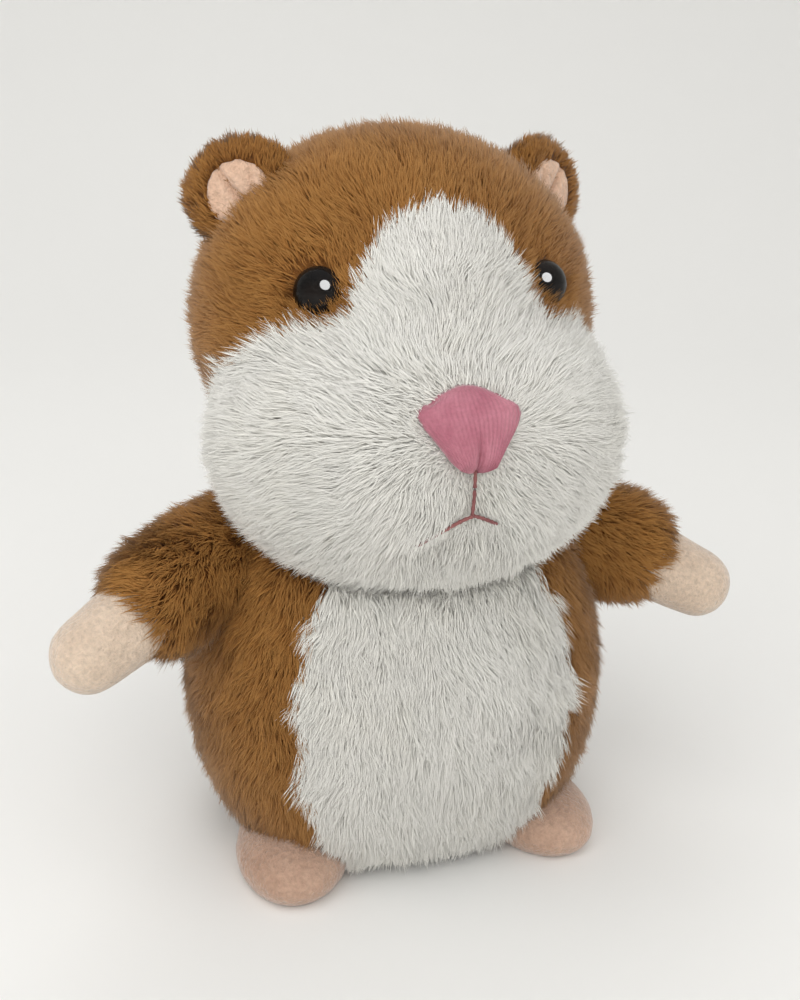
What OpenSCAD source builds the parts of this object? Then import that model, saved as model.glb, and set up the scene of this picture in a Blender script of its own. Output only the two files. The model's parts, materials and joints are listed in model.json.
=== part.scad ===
// Interactive plush pet: a stuffed toy round a talking, head-nodding mechanism.
// Millimetres, +Z up. The pet faces -Y, and left and right are its own: its left is +X.
// The origin is on the floor, under the middle of the whole toy.

/* [Body] */
// Width of the plush body at its widest
body_w = 96; // [92:1:97]
// Thickness of the plush cloth, with the dense lower part of its pile
cloth = 2.5; // [2:0.5:3]

/* [Head] */
// Width of the skull part of the head
head_w = 87; // [84:1:89]
// Height of the middle of the head
head_z = 119; // [118:0.5:121]
// Furthest nod to either side of rest, in degrees
nod = 6; // [4:1:6]
// Width of a glossy eye
eye_d = 9.8; // [9:0.2:11]

/* [Arms] */
// Radius of the sleeve at the shoulder
shoulder_r = 12; // [11:0.5:12]
// Furthest swing of an arm downwards, in degrees
arm_down = 15; // [5:5:15]
// Furthest swing of an arm upwards, in degrees
arm_up = 20; // [5:5:20]

/* [Mechanism] */
// Gear module: pitch diameter over number of teeth
gear_module = 0.5; // [0.46:0.01:0.5]
// Travel of the power switch
switch_travel = 3; // [2:0.5:3]

/* [Hidden] */
axis_y = 7.94;               // the body's own axis stands this far behind the origin
soft_fn = 28;
gap = 0.15;                 // between neighbouring soft pieces
swing_gap = 0.6;            // between soft pieces that move past each other

body_y = -4;                // middle of the plush body, from the body axis
body_flat = 0.8;            // depth over width at the widest
body_ring_z = 36;
body_edge_r = 20;
base_w = 70;
base_d = 58;
base_round = 22;
base_edge_r = 7;

skull_y = 2;
skull_half = [head_w / 2, 34.5, 39.5];
muzzle_at = [0, -17, head_z - 19.6];
muzzle_half = [43.5, 33.5, 30.2];
bridge_at = [0, -13.5, head_z + 3.2];
bridge_half = [24.5, 22, 24];
ear_at = [32.5, 2.5, head_z + 26];
ear_half = [13.5, 5, 12];
ear_turn = [-8, 14, 28];
lining_half = [6.9, 2.6, 6.7];
eye_x = 24;
eye_z = head_z + 11;
stalk_r = 1.3;
eye_sink = 0.5;             // how far the eye is pressed into the cloth
nose_at = [0, -49.2, head_z - 11.8];

shoulder = [37.5, -3, 69];
wrist = [57.5, -12.5, 63];
paw_tip = [70.5, -19, 56];
wrist_r = 11;
foot_at = [29, -23, 4.2];
foot_half = [13.5, 19.5, 8];
foot_turn = 12;

// Housing
wall = 2;
case_w = 54;
case_d = 45;
case_r = 5;
base_z = 16;                // top of the lower housing
case_z = 50;
tower_w = 40;
tower_d = 38;
tower_r = 8;
tower_z = 66.3;
seat = 0.1;                 // between parts that sit on each other
boss_x = 23.2;
boss_zs = [20, 44];
boss_r = 2.2;
case_screw_y = -18.6;
case_screw_x = 21;
screw_r = 1;
screw_l = 14;
screw_head = [2, 1.5];      // radius and height
screw_head_y = 6;
base_screw_z = 9.5;

// Batteries
cell_r = 5.25;
cell_l = 44.5;
cell_pitch = 11;
cell_z = 8.2;
bay_y = 3.6;
bay = [50, 33.8, 12.5];
bay_top = 14.5;
door_t = 1.8;
door_z = 0.2;
door_play = 0.3;
tab = [10, 5];
tab_x = 8;
door_screw_y = -16;
switch_at = [-11, -18];
knob = [3.5, 2.8, 5.3];
switch_size = [14, 6, 5];

// Gear train, seen along X: each place is [y, z]
neck_z = 90;
crank_z = 54;
crank_r = (neck_z - crank_z) * tan(nod);
pin_r = 1.5;
big_teeth = 36;
small_teeth = 10;
mesh_d = gear_module * (big_teeth + small_teeth) / 2;
crank_at = [0, crank_z];
second_at = crank_at + mesh_d * [cos(-50.6), sin(-50.6)];
first_at = second_at + mesh_d * [cos(226), sin(226)];
motor_at = first_at + mesh_d * [cos(-65), sin(-65)];
tooth_top = 0.8;            // in modules above the pitch circle
tooth_foot = 1.15;          // in modules below it
gear_t = 2.2;
pinion_t = 2.9;
axle_r = 1;
hub_r = 1.7;
run_fit = 0.06;
plate_x = -12.8;            // the gears' side of the gearbox plate
plate_t = 1.6;
crank_x = -4.6;
second_x = -7.2;
first_x = -9.9;
motor_x = -4.4;
motor_r = 10.05;
motor_half_z = 7.7;
motor_l = 25.1;
motor_cap_l = 4.7;
lever_t = 2.5;
lever_half = 4.5;
slot_half = 2.3;
hub_x = 7.6;
neck_pin_r = 1.5;
neck_fit = 0.05;
upright = [8, 3];           // inner face and thickness along X
lug = [11.6, 3];
neck_round = 6;
frame_z = 97;
frame_t = 2.5;
frame_r = 21;
post_top = 120;

// Speaker, microphone and board
speaker_z = 33;
speaker_r = 14.5;
speaker_y = -20.3;
mic_at = [-17.5, 41];
board = [34, 1.2, 28];
board_y = 18;
board_z = 17;

// ---------- Helpers ----------

// Everything is laid out about the body's own axis
module placed() translate([0, axis_y, 0]) children();

// The pet's right side mirrors its left
module right_side() placed() mirror([1, 0, 0]) children();

// A soft piece is one closed mesh at its own size
module soft() resize([0, 0, 0]) children();

module ellipsoid(half, t = 0)
    scale([half.x - t, half.y - t, half.z - t]) sphere(1, $fn = soft_fn);

// Rounded rectangle with true arcs
module rounded(w, d, r) {
    square([w - 2 * r, d], center = true);
    square([w, d - 2 * r], center = true);
    for (x = [-1, 1], y = [-1, 1])
        translate([x * (w / 2 - r), y * (d / 2 - r)]) circle(r, $fn = 48);
}

// Cylinder along +X from x, about the line through [y, z]
module rod(at, x, l, r, fn = 48) translate([x, at[0], at[1]]) rotate([0, 90, 0])
    cylinder(l, r, r, $fn = fn);

module screw(l) {
    cylinder(l, screw_r, screw_r, $fn = 32);
    translate([0, 0, l]) cylinder(screw_head[1], screw_head[0], screw_head[0], $fn = 32);
}

// Round tube along points, as one polyhedron; ref is a direction that the points never follow
function unit(v) = v / norm(v);
function along(pts, i) = unit(pts[min(i + 1, len(pts) - 1)] - pts[max(i - 1, 0)]);
module tube(pts, r, ref = [0, 0, 1], sides = 6) {
    rings = [for (i = [0 : len(pts) - 1])
        let (d = along(pts, i), u = unit(cross(d, ref)), v = cross(d, u))
        for (k = [0 : sides - 1]) pts[i] + r * (u * cos(360 * k / sides) + v * sin(360 * k / sides))];
    last = (len(pts) - 1) * sides;
    walls = [for (i = [0 : len(pts) - 2], k = [0 : sides - 1], half = [0, 1])
        let (a = i * sides + k, b = i * sides + (k + 1) % sides)
        half == 0 ? [a, b, b + sides] : [a, b + sides, a + sides]];
    ends = [[for (k = [sides - 1 : -1 : 0]) k], [for (k = [0 : sides - 1]) last + k]];
    polyhedron(rings, concat(walls, ends), convexity = 6);
}

// Points of a cubic curve with four control points
function curve(p, steps = 9) = [for (i = [0 : steps]) let (t = i / steps, s = 1 - t)
    s * s * s * p[0] + 3 * s * s * t * p[1] + 3 * s * t * t * p[2] + t * t * t * p[3]];

// Spur gear outline: each tooth is a trapezium, thinned for backlash
function gear_points(teeth) =
    let (r = gear_module * teeth / 2,
        top = r + tooth_top * gear_module, foot = r - tooth_foot * gear_module,
        at_top = 0.3 * gear_module / top, at_foot = 0.85 * gear_module / foot)
    [for (i = [0 : teeth - 1], c = [[foot, -at_foot], [top, -at_top], [top, at_top], [foot, at_foot]])
        let (a = 360 * i / teeth + c[1] * 180 / PI) [c[0] * cos(a), c[0] * sin(a)]];

// Gear with its first tooth turned by turn degrees from +Y towards +Z
module gear(at, teeth, x, t, turn)
    translate([x, at[0], at[1]]) rotate([turn, 0, 0]) rotate([0, 90, 0]) rotate([0, 0, 90])
        linear_extrude(t) polygon(gear_points(teeth));

// ---------- Soft outer forms, each drawn in by t ----------

module base_ring(t) for (x = [-1, 1], y = [-1, 1])
    translate([x * (base_w / 2 - base_round), body_y + y * (base_d / 2 - base_round), base_edge_r])
        rotate_extrude($fn = soft_fn) translate([base_round - base_edge_r, 0])
            circle(base_edge_r - t, $fn = 16);

module body_form(t = 0) hull() {
    base_ring(t);
    translate([0, body_y, body_ring_z]) scale([1, body_flat, 1])
        rotate_extrude($fn = soft_fn) translate([body_w / 2 - body_edge_r, 0])
            circle(body_edge_r - t, $fn = 20);
    translate([0, body_y, 58]) ellipsoid([39, 32, 32], t);
}

module skull(t = 0) translate([0, skull_y, head_z]) ellipsoid(skull_half, t);

module face_form(t = 0) {
    translate(muzzle_at) ellipsoid(muzzle_half, t);
    translate(bridge_at) ellipsoid(bridge_half, t);
}

// All the room that the nodding head takes
module head_sweep(t) hull() for (a = [-nod, 0, nod])
    translate([0, 0, neck_z]) rotate([a, 0, 0]) translate([0, 0, -neck_z]) {
        skull(t);
        translate(muzzle_at) ellipsoid(muzzle_half, t);
    }

module ear_form(t = 0) translate(ear_at) rotate(ear_turn) ellipsoid(ear_half, t);

module sleeve_form(t = 0) hull() {
    translate(shoulder) sphere(shoulder_r - t, $fn = soft_fn);
    translate(wrist) sphere(wrist_r - t, $fn = soft_fn);
}

// All the room that a swinging sleeve takes
module arm_sweep(t) hull() for (a = [arm_down, 0, -arm_up])
    translate(shoulder) rotate([0, a, 0]) translate(-shoulder) sleeve_form(t);

module both_sides() for (s = [0, 1]) mirror([s, 0, 0]) children();

// Room in the head for the neck and the frame that it turns on
module neck_room() {
    translate([-19.5, -11.5, 55]) cube([39, 23, frame_z - 54.7]);
    translate([0, 0, frame_z - 0.3]) cylinder(frame_t + 0.6, frame_r + 0.3, frame_r + 0.3, $fn = 40);
    translate([0, 0, frame_z]) cylinder(frame_t + 2, 9, 9, $fn = 24);
    translate([0, 0, frame_z]) cylinder(post_top - frame_z, 4.3, 4.3, $fn = 24);
    translate([0, 0, post_top - 0.3]) cylinder(2.6, 12.3, 12.3, $fn = 32);
}

module case_room(t) {
    linear_extrude(case_z + t) rounded(case_w + 2 * t, case_d + 2 * t, case_r + t);
    linear_extrude(tower_z + t) rounded(tower_w + 2 * t, tower_d + 2 * t, tower_r + t);
    translate([-19, -9.5, tower_z]) cube([38, 19, 30]);
}

// Cloth of the body: follows the outside and dips under the head
module body_hollow(t) difference() {
    body_form(t);
    head_sweep(-swing_gap - t);
}

module body_shell() difference() {
    body_hollow(0);
    body_hollow(cloth);
    case_room(0.2);
    both_sides() arm_sweep(-swing_gap);
}

// Outline of the white belly, run through the front of the body
module belly_zone(t) translate([0, 0, 42]) rotate([90, 0, 0])
    scale([29.5 - t, 44 - t, 1]) cylinder(60, 1, 1, $fn = 40);

// Line that an eye's stalk follows: origin on the skull, +Z outwards
eye_skull_y = skull_y - skull_half.y
    * sqrt(1 - pow(eye_x / skull_half.x, 2) - pow((eye_z - head_z) / skull_half.z, 2));
eye_out = unit([eye_x / pow(skull_half.x, 2), (eye_skull_y - skull_y) / pow(skull_half.y, 2),
    (eye_z - head_z) / pow(skull_half.z, 2)]);
module at_eye() translate([eye_x, eye_skull_y, eye_z])
    rotate([90 - asin(eye_out.z), 0, atan2(eye_out.x, -eye_out.y)]) children();

// ---------- Soft pieces ----------

module body_skin() color("peru") placed() soft() difference() {
    body_shell();
    belly_zone(-gap);
}

module belly_panel() color("whitesmoke") placed() soft() intersection() {
    body_shell();
    belly_zone(0);
}

module body_stuffing() color("ivory") placed() soft() difference() {
    body_hollow(cloth + gap);
    case_room(0.3);
    both_sides() arm_sweep(-swing_gap);
}

module foot() soft() difference() {
    translate(foot_at) rotate([0, 0, foot_turn]) ellipsoid(foot_half);
    body_form(-gap);
    case_room(0.3);
    translate([-60, -60, -20]) cube([120, 120, 20]);
}
module left_foot() color("rosybrown") placed() foot();
module right_foot() color("rosybrown") right_side() foot();

module head_skin() color("peru") placed() soft() difference() {
    skull();
    skull(cloth);
    face_form(-gap);
    neck_room();
    both_sides() at_eye() {
        translate([0, 0, -8]) cylinder(16, 1.6, 1.6, $fn = 16);
        translate([0, 0, -eye_sink - 0.1]) cylinder(8, eye_d / 2 + 0.2, eye_d / 2 + 0.2, $fn = 32);
    }
}

module face_panel() color("whitesmoke") placed() soft() difference() {
    face_form();
    face_form(cloth);
    skull(-gap);
    neck_room();
}

module head_stuffing() color("ivory") placed() soft() difference() {
    union() {
        skull(cloth + gap);
        face_form(cloth + gap);
    }
    neck_room();
    both_sides() at_eye() translate([0, 0, -9]) cylinder(10, 6.3, 6.3, $fn = 24);
}

module ear() soft() difference() {
    ear_form();
    skull(-gap);
}
module left_ear() color("peru") placed() ear();
module right_ear() color("peru") right_side() ear();

module ear_lining() soft() difference() {
    translate(ear_at) rotate(ear_turn) translate([0, -3.9, 0]) ellipsoid(lining_half);
    ear_form(-gap);
    skull(-gap);
}
module left_ear_lining() color("peachpuff") placed() ear_lining();
module right_ear_lining() color("peachpuff") right_side() ear_lining();

// Glossy dome with a moulded stalk through the cloth
module eye() at_eye() translate([0, 0, -eye_sink]) {
    intersection() {
        translate([0, 0, -1.6]) sphere(eye_d / 2 + 0.3, $fn = 48);
        cylinder(eye_d, eye_d / 2, eye_d / 2, $fn = 48);
    }
    translate([0, 0, -7]) cylinder(8, stalk_r, stalk_r, $fn = 32);
}
module left_eye() color("black") placed() eye();
module right_eye() color("black") right_side() eye();

module eye_washers() color("gainsboro") placed() both_sides() at_eye()
    translate([0, 0, -cloth - 2.4]) difference() {
        cylinder(1.4, 6, 6, $fn = 48);
        translate([0, 0, -1]) cylinder(4, stalk_r + 0.02, stalk_r + 0.02, $fn = 32);
    }

module nose() color("palevioletred") placed() soft() difference() {
    hull() {
        for (s = [-1, 1]) {
            translate([s * 6.8, nose_at.y + 1.1, nose_at.z + 2.2]) sphere(3.2, $fn = 20);
            translate([s * 2.8, nose_at.y, nose_at.z - 2.8]) sphere(3, $fn = 20);
        }
        translate([0, nose_at.y + 0.4, nose_at.z + 3.2]) sphere(3, $fn = 20);
    }
    face_form(-gap);
}

// Point just outside the muzzle at x and height z
function on_muzzle(x, z) = [x, muzzle_at.y - (muzzle_half.y + 0.7)
    * sqrt(1 - pow(x / muzzle_half.x, 2) - pow((z - muzzle_at.z) / muzzle_half.z, 2)), z];
lip_z = head_z - 27;
thread_r = 0.45;
// Three stitches: the seam under the nose and the two lips
module mouth_thread() color("rosybrown") placed() {
    tube([for (i = [0 : 5]) on_muzzle(0, lip_z + 0.8 + 6 * i / 5)], thread_r);
    for (s = [-1, 1])
        tube([for (i = [0 : 6]) on_muzzle(s * (0.7 + 7.3 * i / 6), lip_z - 4.5 * pow(i / 6, 1.5))],
            thread_r);
}

// The sleeve is open where it is sewn to the body
module sleeve() soft() difference() {
    sleeve_form();
    sleeve_form(cloth);
    translate([0, -50, 0]) cube([shoulder.x - 8, 100, 150]);
}
module left_sleeve() color("peru") placed() sleeve();
module right_sleeve() color("peru") right_side() sleeve();

module arm_stuffing() soft() sleeve_form(cloth + gap);
module left_arm_stuffing() color("ivory") placed() arm_stuffing();
module right_arm_stuffing() color("ivory") right_side() arm_stuffing();

module paw() soft() difference() {
    hull() {
        translate(wrist) sphere(wrist_r - 1.5, $fn = soft_fn);
        translate(paw_tip) sphere(wrist_r - 2.8, $fn = soft_fn);
    }
    sleeve_form(-gap);
}
module left_paw() color("peachpuff") placed() paw();
module right_paw() color("peachpuff") right_side() paw();

// ---------- Housing ----------

module case_screw_places() for (s = [-1, 1]) translate([s * case_screw_x, case_screw_y, 0]) children();

module lower_housing() color("gainsboro") placed() difference() {
    linear_extrude(base_z) rounded(case_w, case_d, case_r);
    translate([-bay.x / 2, bay_y - bay.y / 2, -1]) cube([bay.x, bay.y, bay_top + 1]);
    // seat and pilot hole for the door's tab
    translate([tab_x - tab.x / 2 - door_play, bay_y - bay.y / 2 - tab.y - door_play, -1])
        cube([tab.x + 2 * door_play, tab.y + 2, 1 + door_z + door_t]);
    translate([tab_x, door_screw_y, 0]) cylinder(12, screw_r + neck_fit, screw_r + neck_fit, $fn = 32);
    // slot and pocket for the power switch
    translate([switch_at.x - knob.x / 2 - door_play, switch_at.y - knob.y / 2 - 0.1, -1])
        cube([knob.x + switch_travel + 2 * door_play, knob.y + 0.2, 8]);
    translate([switch_at.x + 1.5 - switch_size.x / 2 - 0.1, switch_at.y - switch_size.y / 2 - 0.1, 6])
        cube([switch_size.x + 0.2, switch_size.y + 0.2, base_z]);
    case_screw_places() {
        translate([0, 0, -1])
            cylinder(1 + base_screw_z, screw_head[0] + 0.2, screw_head[0] + 0.2, $fn = 32);
        cylinder(base_z + 1, screw_r + 0.05, screw_r + 0.05, $fn = 32);
    }
}

// The hollow tower, before it is split into front and rear halves
module upper_case() difference() {
    union() {
        translate([0, 0, base_z + seat]) linear_extrude(case_z - base_z - seat)
            rounded(case_w, case_d, case_r);
        translate([0, 0, case_z - 1]) linear_extrude(tower_z - case_z + 1)
            rounded(tower_w, tower_d, tower_r);
    }
    translate([0, 0, base_z - 1]) linear_extrude(case_z - wall - base_z + 1)
        rounded(case_w - 2 * wall, case_d - 2 * wall, case_r - wall);
    translate([0, 0, case_z - wall - 1]) linear_extrude(tower_z - case_z + 1)
        rounded(tower_w - 2 * wall, tower_d - 2 * wall, tower_r - wall);
    translate([-wall, -8, tower_z - wall - 1]) cube([2 * wall, 16, wall + 2]);
    bracket_screw_places() cylinder(tower_z + 1, screw_r + 0.05, screw_r + 0.05, $fn = 32);
}

module bracket_screw_places() for (s = [-1, 1]) translate([s * 16, 0, 0]) children();

module boss_places() for (s = [-1, 1], z = boss_zs) translate([s * boss_x, 0, z]) rotate([90, 0, 0])
    children();

module front_housing() color("gainsboro") placed() difference() {
    union() {
        intersection() {
            upper_case();
            translate([-50, -50 - seat / 2, 0]) cube([100, 50, 100]);
        }
        boss_places() translate([0, 0, seat / 2]) cylinder(case_d / 2 - 1, boss_r, boss_r, $fn = 48);
        case_screw_places() translate([0, 0, base_z + seat]) cylinder(8.5, boss_r, boss_r, $fn = 48);
    }
    boss_places() translate([0, 0, -1]) cylinder(9.5, screw_r + 0.05, screw_r + 0.05, $fn = 32);
    case_screw_places() translate([0, 0, base_z - 1])
        cylinder(8.8, screw_r + 0.05, screw_r + 0.05, $fn = 32);
    // grille over the speaker, and the hole for the microphone
    for (ring = [0 : 2], k = [0 : max(1, 6 * ring) - 1])
        translate([3.6 * ring * cos(60 * k / max(1, ring)), -case_d / 2 - 1,
            speaker_z + 3.6 * ring * sin(60 * k / max(1, ring))])
            rotate([-90, 0, 0]) cylinder(wall + 2, 0.9, 0.9, $fn = 16);
    translate([mic_at[0], -case_d / 2 - 1, mic_at[1]]) rotate([-90, 0, 0])
        cylinder(wall + 2, 0.8, 0.8, $fn = 16);
}

module rear_housing() color("gainsboro") placed() difference() {
    union() {
        intersection() {
            upper_case();
            translate([-50, seat / 2, 0]) cube([100, 50, 100]);
        }
        boss_places() translate([0, 0, 1 - case_d / 2])
            cylinder(case_d / 2 - 1 - seat / 2, boss_r, boss_r, $fn = 48);
    }
    boss_places() {
        translate([0, 0, -case_d / 2 - 1])
            cylinder(case_d / 2 + 1 - screw_head_y, screw_head[0] + 0.2, screw_head[0] + 0.2, $fn = 32);
        translate([0, 0, -screw_head_y - 1])
            cylinder(screw_head_y + 2, screw_r + 0.05, screw_r + 0.05, $fn = 32);
    }
}

// Self-tapping screws of one size: four join the halves, two hold the base and two the bracket
module housing_screws() color("silver") placed() {
    boss_places() translate([0, 0, screw_l - screw_head_y - 0.05]) mirror([0, 0, 1]) screw(screw_l);
    case_screw_places() translate([0, 0, base_screw_z + screw_l]) mirror([0, 0, 1]) screw(screw_l);
    bracket_screw_places() translate([0, 0, tower_z + wall + seat - screw_l]) screw(screw_l);
}

module neck_bracket() color("gainsboro") placed() difference() {
    union() {
        translate([-18.5, -9, tower_z + seat / 2]) cube([37, 18, wall]);
        for (s = [0, 1]) mirror([s, 0, 0]) {
            translate([upright[0], -neck_round, tower_z + 1])
                cube([upright[1], 2 * neck_round, neck_z - tower_z - 1]);
            rod([0, neck_z], upright[0], upright[1], neck_round);
        }
    }
    translate([-wall, -8, tower_z - 1]) cube([2 * wall, 16, wall + 2]);
    rod([0, neck_z], -20, 40, neck_pin_r);
    bracket_screw_places() cylinder(100, screw_r + 0.05, screw_r + 0.05, $fn = 32);
}

module neck_pin() color("silver") placed() rod([0, neck_z], -17, 34, neck_pin_r);

module neck_pin_clips() color("dimgray") placed() both_sides() difference() {
    rod([0, neck_z], 15, 1, 3);
    rod([0, neck_z], 14, 3, neck_pin_r + 0.02);
}

// ---------- Batteries and switch ----------

module battery_door() color("silver") placed() difference() {
    union() {
        translate([-bay.x / 2 + door_play, bay_y - bay.y / 2 + door_play, door_z])
            cube([bay.x - 2 * door_play, bay.y - 2 * door_play, door_t]);
        translate([tab_x - tab.x / 2, bay_y - bay.y / 2 - tab.y, door_z])
            cube([tab.x, tab.y + 2, door_t]);
    }
    translate([tab_x, door_screw_y, -1]) cylinder(5, screw_r + 0.02, screw_r + 0.02, $fn = 32);
    translate([tab_x, door_screw_y, -1])
        cylinder(1 + door_z + 0.9, screw_head[0] + 0.05, screw_head[0] + 0.05, $fn = 32);
}

module door_screw() color("silver") placed() translate([tab_x, door_screw_y, door_z]) {
    cylinder(0.9, screw_head[0], screw_head[0], $fn = 32);
    cylinder(8, screw_r, screw_r, $fn = 32);
}

// The cells lie along X and alternate; side is the end that the tip is at
function cell_side(i) = i % 2 == 0 ? 1 : -1;
module cell_places() for (i = [0 : 2]) translate([0, bay_y + (i - 1) * cell_pitch, cell_z])
    mirror([cell_side(i) < 0 ? 1 : 0, 0, 0]) children();

module battery_cells() color("seagreen") placed() cell_places() {
    rod([0, 0], -cell_l / 2, cell_l - 1, cell_r);
    rod([0, 0], cell_l / 2 - 1.5, 1.5, 2.75, 32);
}

spring_turns = 2.25;
module contact_springs() color("silver") placed() cell_places()
    tube([for (i = [0 : 27]) let (a = 360 * spring_turns * i / 27)
        [-cell_l / 2 - 0.5 - 1.3 * i / 27, 3 * cos(a), 3 * sin(a)]], 0.3, [1, 0, 0]);

module contact_plates() color("silver") placed() {
    for (s = [-1, 1]) translate([s * (bay.x / 2 - 0.3) - 0.2, bay_y - 16, 4]) cube([0.4, 32, 9]);
    cell_places() rod([0, 0], cell_l / 2 + 0.1, bay.x / 2 - 0.4 - cell_l / 2 - 0.1, 2.5, 32);
}

module power_switch() color("dimgray") placed()
    translate([switch_at.x + 1.5 - switch_size.x / 2, switch_at.y - switch_size.y / 2, 6.1])
        cube(switch_size);

module switch_knob() color("black") placed()
    translate([switch_at.x - knob.x / 2, switch_at.y - knob.y / 2, 0.6]) {
        cube(knob);
        for (k = [0 : 2]) translate([0.5 + k, 0, -0.3]) cube([0.5, knob.y, 0.5]);
    }

// ---------- Gearbox ----------

module gearbox_frame() color("whitesmoke") placed() difference() {
    union() {
        translate([plate_x - plate_t, -9, base_z + seat]) cube([plate_t, 24.5, 46]);
        translate([plate_x - 1, motor_at[0] - motor_r, motor_at[1] - motor_half_z - 2])
            cube([19 - plate_x + 1, 2 * motor_r, 1.9]);
    }
    for (at = [crank_at, second_at, first_at]) rod(at, plate_x - 5, 10, axle_r + 0.02, 32);
}

module gear_axles() color("silver") placed() {
    rod(crank_at, plate_x - plate_t, -plate_x + plate_t - 2.3, axle_r, 32);
    rod(second_at, plate_x - plate_t, -plate_x + plate_t - 1.6, axle_r, 32);
    rod(first_at, plate_x - plate_t, -plate_x + plate_t - 4.6, axle_r, 32);
}

// A tooth of each pinion lies on the line to the gear it drives, where that gear has a gap
function heading(from, to) = atan2(to[1] - from[1], to[0] - from[0]);
half_big = 180 / big_teeth;
second_turn = heading(second_at, first_at) + half_big;
first_turn = heading(first_at, motor_at) + half_big;

module crank_gear() color("khaki") placed() {
    difference() {
        union() {
            gear(crank_at, big_teeth, crank_x, gear_t, heading(crank_at, second_at) + half_big);
            rod(crank_at, plate_x + seat, crank_x - plate_x, hub_r, 32);
        }
        rod(crank_at, -20, 30, axle_r + run_fit, 32);
    }
    rod(crank_at - [0, crank_r], crank_x + gear_t - 0.2, 4.6, pin_r, 32);
}

module compound(at, x, big_turn, small_turn) difference() {
    union() {
        gear(at, big_teeth, x, gear_t, big_turn);
        gear(at, small_teeth, x + gear_t - 0.1, pinion_t + 0.1, small_turn);
        rod(at, plate_x + seat, x - plate_x, hub_r, 32);
    }
    rod(at, -20, 30, axle_r + run_fit, 32);
}
module second_gear() color("white") placed()
    compound(second_at, second_x, second_turn, heading(second_at, crank_at));
module first_gear() color("khaki") placed()
    compound(first_at, first_x, first_turn, heading(first_at, second_at));

module motor_pinion() color("silver") placed() {
    rod(motor_at, first_x - 0.2, 28, axle_r, 32);
    gear(motor_at, small_teeth, first_x - 0.2, 2.6, heading(motor_at, first_at));
}

module motor_round(x, l) intersection() {
    rod(motor_at, x, l, motor_r);
    translate([x, motor_at[0] - 20, motor_at[1] - motor_half_z]) cube([l, 40, 2 * motor_half_z]);
}

module motor_can() color("lightgray") placed() difference() {
    union() {
        motor_round(motor_x, motor_l - motor_cap_l);
        rod(motor_at, motor_x - 1.2, 2, 3, 32);
    }
    rod(motor_at, -20, 60, axle_r + run_fit, 32);
}

module motor_end_cap() color("white") placed() difference() {
    motor_round(motor_x + motor_l - motor_cap_l, motor_cap_l);
    rod(motor_at, -20, 60, axle_r + run_fit, 32);
}

module motor_strap() color("silver") placed() difference() {
    translate([4, motor_at[0] - motor_r - 0.9, motor_at[1] - motor_half_z - 2])
        cube([4, 2 * motor_r + 1.8, 2 * motor_half_z + 2.9]);
    translate([3, motor_at[0] - motor_r - 0.1, motor_at[1] - motor_half_z - 3])
        cube([6, 2 * motor_r + 0.2, 2 * motor_half_z + 3.1]);
}

// ---------- Head linkage ----------

slot_top = crank_z + 1.7;
slot_bottom = crank_z - crank_r - pin_r - 0.4;
module head_lever() color("whitesmoke") placed() difference() {
    union() {
        translate([-lever_t / 2, -lever_half, slot_bottom - 2])
            cube([lever_t, 2 * lever_half, neck_z - slot_bottom + 2]);
        rod([0, neck_z], -hub_x, 2 * hub_x, 5);
        translate([-7, -6, frame_z - 2.4 - seat]) cube([14, 12, 2.4]);
        translate([-7, -2.5, neck_z]) cube([14, 5, frame_z - neck_z - 1]);
    }
    rod([0, neck_z], -20, 40, neck_pin_r + neck_fit);
    for (z = [slot_bottom + slot_half, slot_top - slot_half]) rod([0, z], -5, 10, slot_half);
    translate([-5, -slot_half, slot_bottom + slot_half])
        cube([10, 2 * slot_half, slot_top - slot_bottom - 2 * slot_half]);
    lever_screw_places() translate([0, 0, -8]) cylinder(20, screw_r + 0.05, screw_r + 0.05, $fn = 32);
}

module lever_screw_places() for (s = [-1, 1]) translate([s * 4.5, 0, frame_z]) children();

module lever_screws() color("silver") placed() lever_screw_places()
    translate([0, 0, -4.2]) screw(4.2 + frame_t + 0.05);

module head_frame() color("whitesmoke") placed() difference() {
    union() {
        translate([0, 0, frame_z]) cylinder(frame_t, frame_r, frame_r, $fn = 64);
        for (s = [0, 1]) mirror([s, 0, 0]) {
            translate([lug[0], -neck_round, neck_z])
                cube([lug[1], 2 * neck_round, frame_z - neck_z + 1]);
            rod([0, neck_z], lug[0], lug[1], neck_round);
        }
        translate([0, 0, frame_z + 1]) cylinder(post_top - frame_z, 4, 4, $fn = 32);
        translate([0, 0, post_top]) cylinder(2, 12, 12, $fn = 48);
    }
    rod([0, neck_z], -20, 40, neck_pin_r + neck_fit);
    lever_screw_places() translate([0, 0, -1])
        cylinder(frame_t + 2, screw_r + 0.05, screw_r + 0.05, $fn = 32);
    lever_screw_places() translate([0, 0, frame_t])
        cylinder(4, screw_head[0] + 0.1, screw_head[0] + 0.1, $fn = 32);
}

// ---------- Electronics ----------

// Ring about -Y, from the front face at y backwards
module disc(at, y, l, r, fn = 64) translate([at[0], y, at[1]]) rotate([-90, 0, 0])
    cylinder(l, r, r, $fn = fn);

module speaker_basket() color("dimgray") placed() difference() {
    union() {
        disc([0, speaker_z], speaker_y, 1.2, speaker_r);
        disc([0, speaker_z], speaker_y + 1, 4.2, speaker_r - 2.5);
    }
    disc([0, speaker_z], speaker_y - 1, 1.8, speaker_r - 1.5);
    disc([0, speaker_z], speaker_y - 1, 5.2, speaker_r - 3.5);
    disc([0, speaker_z], speaker_y, 10, 4.1);
}

cone_outline = [[0, 1.6], [4, 2], [9.5, 0.3], [12.9, 0.3], [12.9, 0.7], [9.7, 0.7], [4, 2.9], [0, 2.6]];
module speaker_cone() color("black") placed() translate([0, speaker_y + 0.1, speaker_z])
    rotate([-90, 0, 0]) rotate_extrude($fn = 64) polygon(cone_outline);

module speaker_magnet() color("silver") placed() disc([0, speaker_z], speaker_y + 5.3, 3.2, 7);

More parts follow.
